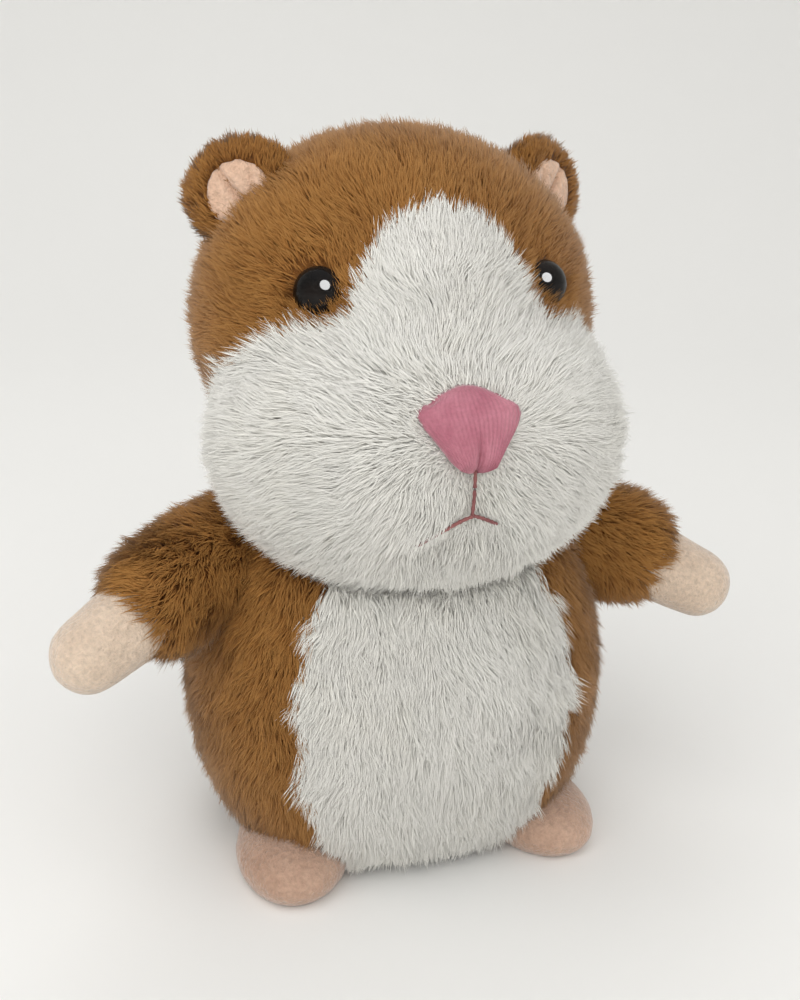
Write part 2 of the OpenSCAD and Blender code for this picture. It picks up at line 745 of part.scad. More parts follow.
module microphone() color("silver") placed() disc(mic_at, speaker_y, 2.7, 3, 48);

module circuit_board() color("darkgreen") placed()
    translate([-board.x / 2, board_y, board_z]) cube(board);

module board_components() color("black") placed() {
    translate([-10, board_y - 1.6, 30]) cube([7, 1.5, 9]);
    translate([-8, board_y - 1.3, 19]) cube([4, 1.2, 4]);
    for (k = [0 : 4]) translate([4 + 2.4 * k, board_y - 0.7, 41]) cube([1.2, 0.6, 2]);
    translate([12, board_y - 3.4, 20]) rotate([-90, 0, 0]) cylinder(3.3, 2.2, 2.2, $fn = 32);
}

module wiring() color("red") placed() {
    tube(curve([[15, 17.2, 36], [24, 15, 36], [22.4, 12, 35], [21.5, 6, 34]]), 0.5);
    tube(curve([[-15, 17.2, 34], [-27, 6, 33], [-23, -16, 33], [-9, -14.2, 33]]), 0.5);
    tube(curve([[-20, 8, 16.9], [-20, 10, 24], [-19, 16, 26], [-13, 17.2, 24]]), 0.5);
    tube(curve([[-17.5, -16.9, 41], [-24, -13, 40], [-25, 14, 40], [-15, 17.2, 40]]), 0.5);
}

lower_housing();
front_housing();
rear_housing();
neck_bracket();
battery_door();
door_screw();
battery_cells();
contact_springs();
contact_plates();
gearbox_frame();
motor_can();
motor_end_cap();
motor_strap();
motor_pinion();
first_gear();
second_gear();
crank_gear();
gear_axles();
circuit_board();
board_components();
speaker_basket();
speaker_magnet();
speaker_cone();
microphone();
power_switch();
switch_knob();
wiring();
housing_screws();
neck_pin();
neck_pin_clips();
head_lever();
head_frame();
lever_screws();
body_skin();
belly_panel();
body_stuffing();
left_foot();
right_foot();
head_skin();
face_panel();
head_stuffing();
left_ear();
right_ear();
left_ear_lining();
right_ear_lining();
left_eye();
right_eye();
eye_washers();
nose();
mouth_thread();
left_sleeve();
right_sleeve();
left_paw();
right_paw();
left_arm_stuffing();
right_arm_stuffing();
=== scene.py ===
"""Looks of the interactive plush pet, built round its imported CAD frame.

Forms are laid out in millimetres about the body's own axis (the pet faces -Y, its left is +X)
and are turned into metres in the row frame as each mesh is made.
"""

import json
import math
from collections import namedtuple

import bmesh
import bpy
import numpy as np
from mathutils import Matrix, Vector


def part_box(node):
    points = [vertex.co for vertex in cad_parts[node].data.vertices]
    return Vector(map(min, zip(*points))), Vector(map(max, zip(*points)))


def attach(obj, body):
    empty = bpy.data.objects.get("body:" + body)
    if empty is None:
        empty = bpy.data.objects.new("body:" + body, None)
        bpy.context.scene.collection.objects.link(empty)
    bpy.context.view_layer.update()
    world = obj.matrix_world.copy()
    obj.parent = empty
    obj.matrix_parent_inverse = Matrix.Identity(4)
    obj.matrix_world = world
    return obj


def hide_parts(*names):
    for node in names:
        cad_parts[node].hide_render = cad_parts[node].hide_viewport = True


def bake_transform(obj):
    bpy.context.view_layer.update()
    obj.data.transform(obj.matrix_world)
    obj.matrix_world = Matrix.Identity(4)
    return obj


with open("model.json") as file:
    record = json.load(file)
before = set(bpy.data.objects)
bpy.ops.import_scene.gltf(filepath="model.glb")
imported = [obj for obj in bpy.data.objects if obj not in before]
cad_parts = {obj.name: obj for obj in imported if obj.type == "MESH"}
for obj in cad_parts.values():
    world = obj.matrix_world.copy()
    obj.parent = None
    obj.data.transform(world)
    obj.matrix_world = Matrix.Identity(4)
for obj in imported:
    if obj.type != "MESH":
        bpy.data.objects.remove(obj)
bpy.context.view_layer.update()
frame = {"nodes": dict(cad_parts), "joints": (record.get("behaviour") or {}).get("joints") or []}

MM = 0.001
SEED = 7
JOINTS = {j["name"]: j for j in frame["joints"]}


def cad_centre(node):
    """Middle of a CAD node in millimetres of the row frame."""
    low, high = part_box(node)
    return np.array((low + high) / 2) / MM


AXIS = np.array([0, cad_centre("lower_housing")[1], 0])
NECK_Z = JOINTS["head_nod"]["pos_m"][2] / MM
NOD = JOINTS["head_nod"]["range_deg"][1]
HEAD_Z = NECK_Z + 29


def place(points):
    """Millimetres about the body's axis to metres in the row frame."""
    return (np.asarray(points, float) + AXIS) * MM


def vec(*values):
    return np.array(values, float)


def unit(v):
    v = np.asarray(v, float)
    return v / np.maximum(np.linalg.norm(v, axis=-1, keepdims=True), 1e-12)


def rotation(degrees):
    """Turning about X, then Y, then Z."""
    about_x, about_y, about_z = (Matrix.Rotation(math.radians(angle), 3, axis)
                                 for angle, axis in zip(degrees, "XYZ"))
    return np.array(about_z @ about_y @ about_x)


def toward_viewer(azimuth, elevation):
    """Direction from the pet to a viewer at angles in degrees; azimuth 0 is its front."""
    a, e = math.radians(azimuth), math.radians(elevation)
    return Vector((math.sin(a) * math.cos(e), -math.cos(a) * math.cos(e), math.sin(e)))


def add_object(name, data):
    obj = bpy.data.objects.new(name, data)
    bpy.context.scene.collection.objects.link(obj)
    return obj


# ---------- Camera: degrees, and millimetres about the body's axis ----------

CAMERA_AZIMUTH = -18.3
CAMERA_ELEVATION = 20.6
CAMERA_ROLL = 1.5
CAMERA_DISTANCE = 275.5
CAMERA_TARGET = (1.9, 0, 76.3)
CAMERA_LENS = 43.1
CAMERA_NEAR, CAMERA_FAR = 0.01, 10


def make_camera():
    back = toward_viewer(CAMERA_AZIMUTH, CAMERA_ELEVATION)
    right = Vector((0, 0, 1)).cross(back).normalized()
    up = back.cross(right)
    roll = math.radians(CAMERA_ROLL)
    tilted_right = math.cos(roll) * right + math.sin(roll) * up
    tilted_up = -math.sin(roll) * right + math.cos(roll) * up
    data = bpy.data.cameras.new("camera")
    data.lens = CAMERA_LENS
    data.clip_start, data.clip_end = CAMERA_NEAR, CAMERA_FAR
    camera = add_object("camera", data)
    turn = Matrix((tilted_right, tilted_up, back)).transposed()
    where = Vector(place(CAMERA_TARGET)) + back * CAMERA_DISTANCE * MM
    camera.matrix_world = Matrix.Translation(where) @ turn.to_4x4()
    bpy.context.scene.camera = camera


make_camera()


# ---------- Node helpers for materials ----------

def srgb(r, g, b):
    """Linear colour of an 8-bit sRGB one."""
    def linear(c):
        c /= 255
        return c / 12.92 if c <= 0.04045 else ((c + 0.055) / 1.055) ** 2.4
    return linear(r), linear(g), linear(b), 1.0


class Graph:
    """A material's node tree, with short ways to add to it."""

    def __init__(self, name):
        self.material = bpy.data.materials.new(name)
        self.material.use_nodes = True
        self.tree = self.material.node_tree
        self.shader = self.tree.nodes["Principled BSDF"]

    def node(self, kind, values=(), **settings):
        made = self.tree.nodes.new(kind)
        for key, value in settings.items():
            setattr(made, key, value)
        for socket, value in values:
            made.inputs[socket].default_value = value
        return made

    def link(self, a, b):
        self.tree.links.new(a, b)

    def noise(self, scale, detail, roughness, vector=None):
        made = self.node("ShaderNodeTexNoise", (("Scale", scale), ("Detail", detail),
                                                ("Roughness", roughness)))
        self.link(vector or self.position(), made.inputs["Vector"])
        return made.outputs["Fac"]

    def position(self):
        return self.node("ShaderNodeTexCoord").outputs["Object"]

    def ramp(self, fac, stops):
        made = self.node("ShaderNodeValToRGB")
        while len(made.color_ramp.elements) < len(stops):
            made.color_ramp.elements.new(0.5)
        for element, (at, colour) in zip(made.color_ramp.elements, stops):
            element.position = at
            element.color = colour
        self.link(fac, made.inputs["Fac"])
        return made.outputs["Color"]

    def between(self, fac, dark, light):
        return self.ramp(fac, [(0.3, dark), (0.7, light)])

    def multiply(self, a, b):
        made = self.node("ShaderNodeMix", (("Factor", 1.0),),
                         data_type="RGBA", blend_type="MULTIPLY")
        self.link(a, made.inputs["A"])
        self.link(b, made.inputs["B"])
        return made.outputs["Result"]

    def bump(self, height, strength, distance):
        made = self.node("ShaderNodeBump", (("Strength", strength), ("Distance", distance)))
        self.link(height, made.inputs["Height"])
        self.link(made.outputs["Normal"], self.shader.inputs["Normal"])

    def set(self, **values):
        for key, value in values.items():
            self.shader.inputs[key.replace("_", " ")].default_value = value

    def colour(self, result):
        self.link(result, self.shader.inputs["Base Color"])

    def rough_between(self, fac, low, high):
        made = self.node("ShaderNodeMapRange", (("To Min", low), ("To Max", high)))
        self.link(fac, made.inputs["Value"])
        self.link(made.outputs["Result"], self.shader.inputs["Roughness"])


def grey(v):
    return (v, v, v, 1.0)


def darker(colour, share):
    return tuple(c * share for c in colour[:3]) + (1.0,)


def fur_material(name, root, middle, tip, low_tone):
    """Pile strand by strand: V of the map runs along a strand and U is the strand's tone."""
    g = Graph(name)
    uv = g.node("ShaderNodeUVMap", uv_map="OFBake").outputs["UV"]
    split = g.node("ShaderNodeSeparateXYZ")
    g.link(uv, split.inputs[0])
    along = g.ramp(split.outputs["Y"], [(0.0, root), (0.45, middle), (1.0, tip)])
    tone = g.ramp(split.outputs["X"], [(0.0, low_tone), (0.5, grey(0.93)), (1.0, grey(1.0))])
    g.colour(g.multiply(along, tone))
    g.set(Roughness=0.62, Sheen_Weight=0.25, Sheen_Roughness=0.45, Specular_IOR_Level=0.22)
    return g.material


def pile_material(name, dark, light, grain=900.0, sheen=0.5):
    """Short pile or the ground cloth under long pile."""
    g = Graph(name)
    mottled = g.noise(70, 5, 0.65)
    fine = g.noise(grain, 3, 0.7)
    base = g.between(mottled, dark, light)
    flecks = g.ramp(fine, [(0.3, grey(0.74)), (0.65, grey(1.0))])
    g.colour(g.multiply(base, flecks))
    g.set(Roughness=0.92, Sheen_Weight=sheen, Sheen_Roughness=0.4, Specular_IOR_Level=0.15)
    g.bump(fine, 0.8, 0.0009)
    return g.material


def plastic_material(name, colour, roughness=0.45, grain=1500.0):
    """Moulded plastic: fine spark-eroded grain and slight flow marks."""
    g = Graph(name)
    flow = g.noise(45, 3, 0.5)
    g.colour(g.between(flow, darker(colour, 0.88), colour))
    fine = g.noise(grain, 2, 0.5)
    g.rough_between(fine, roughness - 0.08, roughness + 0.1)
    g.bump(fine, 0.25, 0.00008)
    return g.material


def metal_material(name, colour, roughness=0.32, stretch=(1, 1, 30)):
    """Drawn or stamped metal with fine lines along one direction."""
    g = Graph(name)
    mapping = g.node("ShaderNodeMapping", (("Scale", stretch),))
    g.link(g.position(), mapping.inputs["Vector"])
    lines = g.noise(900, 3, 0.6, mapping.outputs["Vector"])
    g.colour(g.between(lines, darker(colour, 0.78), colour))
    g.rough_between(lines, roughness - 0.1, roughness + 0.15)
    g.set(Metallic=1.0)
    g.bump(lines, 0.2, 0.00005)
    return g.material


def board_material(name):
    """Green solder mask over fine copper tracks."""
    g = Graph(name)
    cells = g.node("ShaderNodeTexVoronoi", (("Scale", 260),), feature="DISTANCE_TO_EDGE",
                   distance="MANHATTAN")
    g.link(g.position(), cells.inputs["Vector"])
    edge = cells.outputs["Distance"]
    g.colour(g.ramp(edge, [(0.03, srgb(38, 112, 66)), (0.09, srgb(16, 66, 38))]))
    g.bump(edge, 0.2, 0.0001)
    g.set(Roughness=0.38)
    return g.material


def fibre_material(name):
    """White polyester filling."""
    g = Graph(name)
    wisps = g.noise(260, 8, 0.75)
    g.colour(g.between(wisps, srgb(205, 203, 196), srgb(240, 239, 233)))
    g.bump(wisps, 0.8, 0.001)
    g.set(Roughness=0.95, Sheen_Weight=0.3)
    return g.material


def thread_material(name, dark, light):
    """Embroidery thread: soft gloss, fine ply marks."""
    g = Graph(name)
    ply = g.noise(1600, 3, 0.6)
    patches = g.noise(160, 3, 0.5)
    flecks = g.between(ply, grey(0.82), grey(1.0))
    g.colour(g.multiply(g.between(patches, dark, light), flecks))
    g.bump(ply, 0.35, 0.0002)
    g.set(Roughness=0.62, Sheen_Weight=0.35, Sheen_Roughness=0.35, Specular_IOR_Level=0.3)
    return g.material


def eye_material(name):
    """Black glossy plastic, faintly cloudy in its depth."""
    g = Graph(name)
    depth = g.noise(150, 3, 0.5)
    g.colour(g.ramp(depth, [(0.35, srgb(3, 3, 3)), (0.7, srgb(8, 6, 5))]))
    g.set(Roughness=0.05, Specular_IOR_Level=0.15)
    g.bump(g.noise(220, 2, 0.5), 0.04, 0.0001)
    return g.material


BROWN_STRAND = srgb(105, 65, 27), srgb(155, 103, 47), srgb(184, 133, 70)
WHITE_STRAND = srgb(241, 238, 229), srgb(248, 246, 238), srgb(253, 251, 245)
# for each kind of material, its colours and then its grain or gloss
RECIPES = {
    fur_material: {
        "brown_fur": (*BROWN_STRAND, (0.74, 0.70, 0.64, 1)),
        "white_fur": (*WHITE_STRAND, (0.95, 0.945, 0.93, 1)),
    },
    pile_material: {
        "brown_plush": (srgb(104, 64, 28), srgb(134, 86, 40)),
        "white_plush": (srgb(236, 234, 228), srgb(246, 244, 239)),
        "paw_velour": (srgb(216, 192, 170), srgb(238, 216, 194), 950, 0.7),
        "foot_velour": (srgb(188, 152, 130), srgb(212, 178, 156), 950, 0.7),
        "ear_velour": (srgb(222, 182, 154), srgb(242, 206, 180), 950, 0.6),
        "speaker_paper": (srgb(34, 33, 32), srgb(54, 52, 50), 700, 0.1),
    },
    thread_material: {
        "nose_embroidery": (srgb(174, 102, 119), srgb(200, 132, 146)),
        "mouth_embroidery": (srgb(132, 80, 80), srgb(164, 108, 104)),
    },
    plastic_material: {
        "washer_plastic": (srgb(225, 224, 216),),
        "case_plastic": (srgb(196, 196, 192),),
        "gear_plastic": (srgb(236, 232, 214), 0.38),
        "cell_jacket": (srgb(46, 110, 74), 0.3, 700),
        "component_black": (srgb(32, 32, 34), 0.5),
        "wire_insulation": (srgb(176, 38, 34), 0.35),
    },
    metal_material: {
        "motor_metal": (srgb(190, 190, 188),),
        "steel": (srgb(205, 205, 205), 0.28),
        "contact_metal": (srgb(214, 210, 196), 0.25, (30, 1, 1)),
        "speaker_metal": (srgb(150, 150, 150), 0.4),
    },
    fibre_material: {"stuffing": ()},
    eye_material: {"eye_gloss": ()},
    board_material: {"board_green": ()},
}
MATERIALS = {name: make(name, *values)
             for make, recipes in RECIPES.items() for name, values in recipes.items()}


# ---------- Meshes ----------

def new_object(name, vertices, faces, material, smooth=True):
    """Object from metres in the row frame."""
    mesh = bpy.data.meshes.new(name)
    mesh.from_pydata([tuple(v) for v in vertices], [], [tuple(f) for f in faces])
    mesh.update()
    obj = add_object(name, mesh)
    mesh.materials.append(MATERIALS[material])
    if smooth:
        mesh.shade_smooth()
    return obj


def coords(obj):
    co = np.empty(len(obj.data.vertices) * 3)
    obj.data.vertices.foreach_get("co", co)
    return co.reshape(-1, 3)


def set_coords(obj, co):
    obj.data.vertices.foreach_set("co", np.asarray(co, np.float32).ravel())
    obj.data.update()


def apply_modifiers(obj):
    """Bakes the object's modifiers into its mesh."""
    evaluated = obj.evaluated_get(bpy.context.evaluated_depsgraph_get())
    baked = bpy.data.meshes.new_from_object(evaluated)
    obj.modifiers.clear()
    old = obj.data
    obj.data = baked
    bpy.data.meshes.remove(old)
    return obj


def modify(obj, kind, **values):
    """Adds a modifier and bakes it into the mesh."""
    modifier = obj.modifiers.new(kind.lower(), kind)
    for key, value in values.items():
        setattr(modifier, key, value)
    return apply_modifiers(obj)


def vertex_normals(obj):
    out = np.empty(len(obj.data.vertices) * 3)
    obj.data.vertex_normals.foreach_get("vector", out)
    return out.reshape(-1, 3)


CLOTH_STEPS = 12


def puff(obj, voxel, cap):
    """Inflates a padded form by cloth simulation, each point at most cap from its start."""
    modify(obj, "REMESH", mode="VOXEL", voxel_size=voxel * MM)
    modify(obj, "SMOOTH", factor=0.5, iterations=4)
    start = coords(obj)
    cloth = obj.modifiers.new("cloth", "CLOTH")
    cloth.settings.use_pressure = True
    cloth.settings.uniform_pressure_force = 4.0
    cloth.settings.effector_weights.gravity = 0
    cloth.settings.quality = 4
    cloth.settings.tension_stiffness = 25
    cloth.settings.bending_stiffness = 2
    scene = bpy.context.scene
    for step in range(CLOTH_STEPS):
        scene.frame_set(step + 1)
    apply_modifiers(obj)
    scene.frame_set(1)
    move = coords(obj) - start
    size = np.linalg.norm(move, axis=1, keepdims=True)
    limit = cap * MM
    # a soft cap, so that no edge shows where it takes hold
    set_coords(obj, start + move / np.maximum(size, 1e-12) * limit * np.tanh(size / limit))
    return refine(obj)


def refine(obj):
    """One subdivision, after which the surface is smooth enough to carry pile."""
    modify(obj, "SUBSURF", levels=1, render_levels=1)
    obj.data.shade_smooth()
    return obj


def loft(rings):
    """Closed tube through rings of equal length, capped at both ends by a fan; millimetres."""
    count = len(rings[0])
    vertices = np.concatenate([np.asarray(r, float) for r in rings])
    faces = []
    for i in range(len(rings) - 1):
        for k in range(count):
            a, b = i * count + k, i * count + (k + 1) % count
            faces.append((a, b, b + count, a + count))
    first, last = len(vertices), len(vertices) + 1
    vertices = np.vstack([vertices, vertices[:count].mean(0), vertices[-count:].mean(0)])
    top = (len(rings) - 1) * count
    for k in range(count):
        faces.append((first, (k + 1) % count, k))
        faces.append((last, top + k, top + (k + 1) % count))
    return vertices, faces


def spline(points, steps):
    """Smooth rows of numbers through the given rows (Catmull-Rom)."""
    p = np.asarray(points, float)
    p = np.vstack([2 * p[0] - p[1], p, 2 * p[-1] - p[-2]])
    out = []
    for i in range(1, len(p) - 2):
        for t in np.linspace(0, 1, steps, endpoint=False):
            out.append(0.5 * (2 * p[i] + (p[i + 1] - p[i - 1]) * t
                              + (2 * p[i - 1] - 5 * p[i] + 4 * p[i + 1] - p[i + 2]) * t ** 2
                              + (3 * p[i] - p[i - 1] - 3 * p[i + 1] + p[i + 2]) * t ** 3))
    out.append(p[-2])
    return np.array(out)


# ---------- Head ----------

SKULL_AT, SKULL_HALF = vec(0, 2, HEAD_Z), vec(43.5, 34.5, 39.5)
MUZZLE_AT, MUZZLE_HALF = vec(0, -17, HEAD_Z - 21.8), vec(43.5, 33.5, 31.2)
BRIDGE_AT, BRIDGE_HALF = vec(0, -13.5, HEAD_Z + 3.2), vec(24.0, 22.4, 25.4)
HEAD_FORMS = ((SKULL_AT, SKULL_HALF), (MUZZLE_AT, MUZZLE_HALF), (BRIDGE_AT, BRIDGE_HALF))
HEAD_HEART = vec(0, -9, HEAD_Z - 9)
NOSE_AT = vec(0, -50, HEAD_Z - 11.8)
NOSE_HEIGHT = 12.5
MOUTH_Z = HEAD_Z - 27.6
SKIN_INSET = 1.6
CREASE_BLEND = 1.6
CORE_VOXEL = 3.4
TOWER_CLEAR_Z = HEAD_Z - 48.6
TOWER_TOP_Z = 66.3


def reach(directions, centre, half, inset):
    """Distance from the head's heart to an ellipsoid's far side along each direction."""
    h = half - inset
    d, o = directions / h, (HEAD_HEART - centre) / h
    a, b, c = (d * d).sum(1), (d * o).sum(1), (o * o).sum() - 1
    return (-b + np.sqrt(np.maximum(b * b - a * c, 0))) / a


def head_reaches(directions, inset):
    """Reach of the skull, the muzzle and the bridge, one row each."""
    return np.stack([reach(directions, centre, half, inset) for centre, half in HEAD_FORMS])


def head_form(directions):
    """Radius of the stuffed head, with softened creases between its three forms."""
    reaches = head_reaches(directions, SKIN_INSET)
    top = reaches.max(0)
    swell = np.log(np.exp((reaches - top) / CREASE_BLEND).sum(0))
    return top + CREASE_BLEND * swell - 0.35 * CREASE_BLEND


def is_white(points):
    """True where a point of the head belongs to the pale face panel."""
    skull, muzzle, bridge = head_reaches(unit(points - HEAD_HEART), 0.0)
    return np.maximum(muzzle, bridge) > skull


def icosphere(subdivisions):
    bm = bmesh.new()
    bmesh.ops.create_icosphere(bm, subdivisions=subdivisions, radius=1.0)
    vertices = np.array([v.co for v in bm.verts])
    faces = [tuple(v.index for v in f.verts) for f in bm.faces]
    bm.free()
    return vertices, faces


def make_head_core():
    directions, faces = icosphere(6)
    directions = unit(directions)
    points = HEAD_HEART + directions * head_form(directions)[:, None]
    core = new_object("head_core", place(points), faces, "brown_plush")
    puff(core, CORE_VOXEL, cap=1.2)
    # the chin hangs down in front of the neck's tower, and stays clear above it
    mm = coords(core) / MM - AXIS
    aside = np.maximum(np.abs(mm[:, 0]) - 22, np.abs(mm[:, 1]) - 24)
    lift = np.maximum(TOWER_CLEAR_Z - mm[:, 2], 0) * np.clip(1 - aside / 6, 0, 1)
    mm[:, 2] += lift
    set_coords(core, place(mm))
    return core


# ---------- Body ----------

BODY_Y = -4.0
# height, half width, half depth, how square the section is
BODY_ROWS = [
    (0.5, 27.5, 23.5, 3.2), (1.2, 32, 26.5, 3.0), (4, 36.4, 29.5, 2.8), (10, 40.6, 33, 2.6),
    (20, 45.0, 36.4, 2.4), (32, 47.4, 38.2, 2.25), (44, 47.2, 38, 2.2), (56, 44.8, 36, 2.15),
    (66, 41.2, 33.4, 2.1), (75, 36.6, 30.6, 2.05), (83, 31, 27, 2.0), (90, 25, 22, 2.0),
    (96, 14, 12, 2.0),
]
BODY_SIDES = 96
BODY_BOTTOM = 0.6
HEAD_CLEARANCE = 0.9
HOUSING_HALF = vec(27.0, 22.5)
HOUSING_ROUND = 5.5
OPENING_HALF = HOUSING_HALF + 0.6


def superellipse(half_x, half_y, power, count):
    t = np.arange(count) * 2 * math.pi / count
    c, s = np.cos(t), np.sin(t)
    radius = (np.abs(c / half_x) ** power + np.abs(s / half_y) ** power) ** (-1 / power)
    return np.stack([c * radius, s * radius], 1)


def head_floor(points, clearance):
    """Lowest height that the nodding head's underside reaches over each point."""
    lowest = np.full(len(points), 1e3)
    for degrees in (-NOD, 0, NOD):
        a = math.radians(degrees)
        for centre, half in HEAD_FORMS[:2]:
            rel = centre - [0, 0, NECK_Z]
            turned = np.array([rel[0], rel[1] * math.cos(a) - rel[2] * math.sin(a),
                               rel[1] * math.sin(a) + rel[2] * math.cos(a) + NECK_Z])
            x = (points[:, 0] - turned[0]) / (half[0] - SKIN_INSET)
            y = (points[:, 1] - turned[1]) / (half[1] - SKIN_INSET)
            inside = 1 - x ** 2 - y ** 2
            z = turned[2] - (half[2] - SKIN_INSET) * np.sqrt(np.maximum(inside, 0))
            lowest = np.where(inside > 0, np.minimum(lowest, z), lowest)
    return lowest - clearance


def make_body_core():
    rings = []
    for z, half_x, half_y, power in spline(BODY_ROWS, 4):
        ring = superellipse(half_x - SKIN_INSET, half_y - SKIN_INSET, power, BODY_SIDES)
        rings.append(np.column_stack([ring[:, 0], ring[:, 1] + BODY_Y, np.full(BODY_SIDES, z)]))
    points, faces = loft(rings)
    core = new_object("body_core", place(points), faces, "brown_plush")
    puff(core, CORE_VOXEL, cap=1.4)
    # the bottom rests flat, and the top makes room for the head
    mm = coords(core) / MM - AXIS
    mm[:, 2] = np.maximum(mm[:, 2], BODY_BOTTOM)
    mm[:, 2] = np.minimum(mm[:, 2], head_floor(mm, HEAD_CLEARANCE))
    set_coords(core, place(mm))
    return core


# ---------- Limbs ----------

SHOULDER = vec(37.5, -3, 69)
WRIST = vec(57.5, -12.5, 63)
PAW_TIP = vec(70.5, -19, 56)
FOOT_AT, FOOT_HALF = vec(29, -23, 4.2), vec(13.5, 19.5, 8)
FOOT_TURN = (0, 0, 12.0)
EAR_AT, EAR_HALF = vec(32.5, 2.5, HEAD_Z + 26), vec(13.5, 5, 12)
EAR_TURN = (-8, 14, 28)


def cut_round_case(obj, gap):
    """Takes the housing's own room, with a gap round it, out of a closed form."""
    half = HOUSING_HALF + gap
    ring = []
    for corner, (sx, sy) in enumerate(((1, 1), (-1, 1), (-1, -1), (1, -1))):
        for a in np.linspace(0, math.pi / 2, 9) + corner * math.pi / 2:
            ring.append((sx * (half[0] - HOUSING_ROUND) + HOUSING_ROUND * math.cos(a),
                         sy * (half[1] - HOUSING_ROUND) + HOUSING_ROUND * math.sin(a)))
    points, faces = loft([[(x, y, z) for x, y in ring] for z in (-5.0, 40.0)])
    cutter = new_object("case_room", place(points), faces, "brown_plush", smooth=False)
    recalculate(cutter)
    modify(obj, "BOOLEAN", operation="DIFFERENCE", solver="EXACT", object=cutter)
    bpy.data.objects.remove(cutter)


def mirrored(points, side):
    """The pet's own left as it is, its right mirrored."""
    return points * vec(side, 1, 1)


def sweep(stations, count=40):
    """Round tube: rows are x, y, z of the centre, then the radius; millimetres."""
    stations = np.asarray(stations, float)
    centres = stations[:, :3]
    along = unit(np.gradient(centres, axis=0))
    side = unit(np.cross(along, [0, 0, 1]))
    up = np.cross(side, along)
    t = np.arange(count) * 2 * math.pi / count
    return [c + r * (np.outer(np.cos(t), s) + np.outer(np.sin(t), u))
            for c, r, s, u in zip(centres, stations[:, 3], side, up)]

def capsule(a, b, radius_a, radius_b, shape):
    """Stations of a round-ended tube from a to b; shape swells it at points along the way."""
    d = unit(b - a)
    length = np.linalg.norm(b - a)
    rows = []
    for x in np.linspace(-radius_a * 0.995, length + radius_b * 0.995, 42):
        share = np.clip(x / length, 0, 1)
        swell = np.interp(share, np.linspace(0, 1, len(shape)), shape)
        radius = radius_a + (radius_b - radius_a) * share
        if x < 0:
            radius = math.sqrt(max(radius_a ** 2 - x ** 2, 0.01))
        if x > length:
            radius = math.sqrt(max(radius_b ** 2 - (x - length) ** 2, 0.01))
        rows.append([*(a + d * x), radius * swell])
    return rows


def make_limb(name, stations, side, material, voxel, cap):
    points, faces = loft(sweep(stations))
    if side > 0:
        faces = [f[::-1] for f in faces]
    return make_padded(name, points, faces, side, material, voxel, cap)


def recalculate(obj):
    bm = bmesh.new()
    bm.from_mesh(obj.data)
    bmesh.ops.recalc_face_normals(bm, faces=bm.faces)
    bm.to_mesh(obj.data)
    bm.free()
    obj.data.update()

def make_ellipsoid(name, centre, half, turn, side, material, voxel, cap):
    vertices, faces = icosphere(4)
    points = centre + (vertices * half) @ rotation(turn).T
    return make_padded(name, points, faces, side, material, voxel, cap)


def make_padded(name, points, faces, side, material, voxel, cap):
    obj = new_object(name, place(mirrored(points, side)), faces, material)
    recalculate(obj)
    return puff(obj, voxel, cap)


# ---------- Pile ----------

# spread is a tuft's radius, lean its angle from upright in radians, width a strand's thickness,
# unruly how far tufts turn from the comb, gathering how far a tuft's tips come together
Style = namedtuple("Style", "spread strands lean width unruly gathering")
STRAND_POINTS = 7


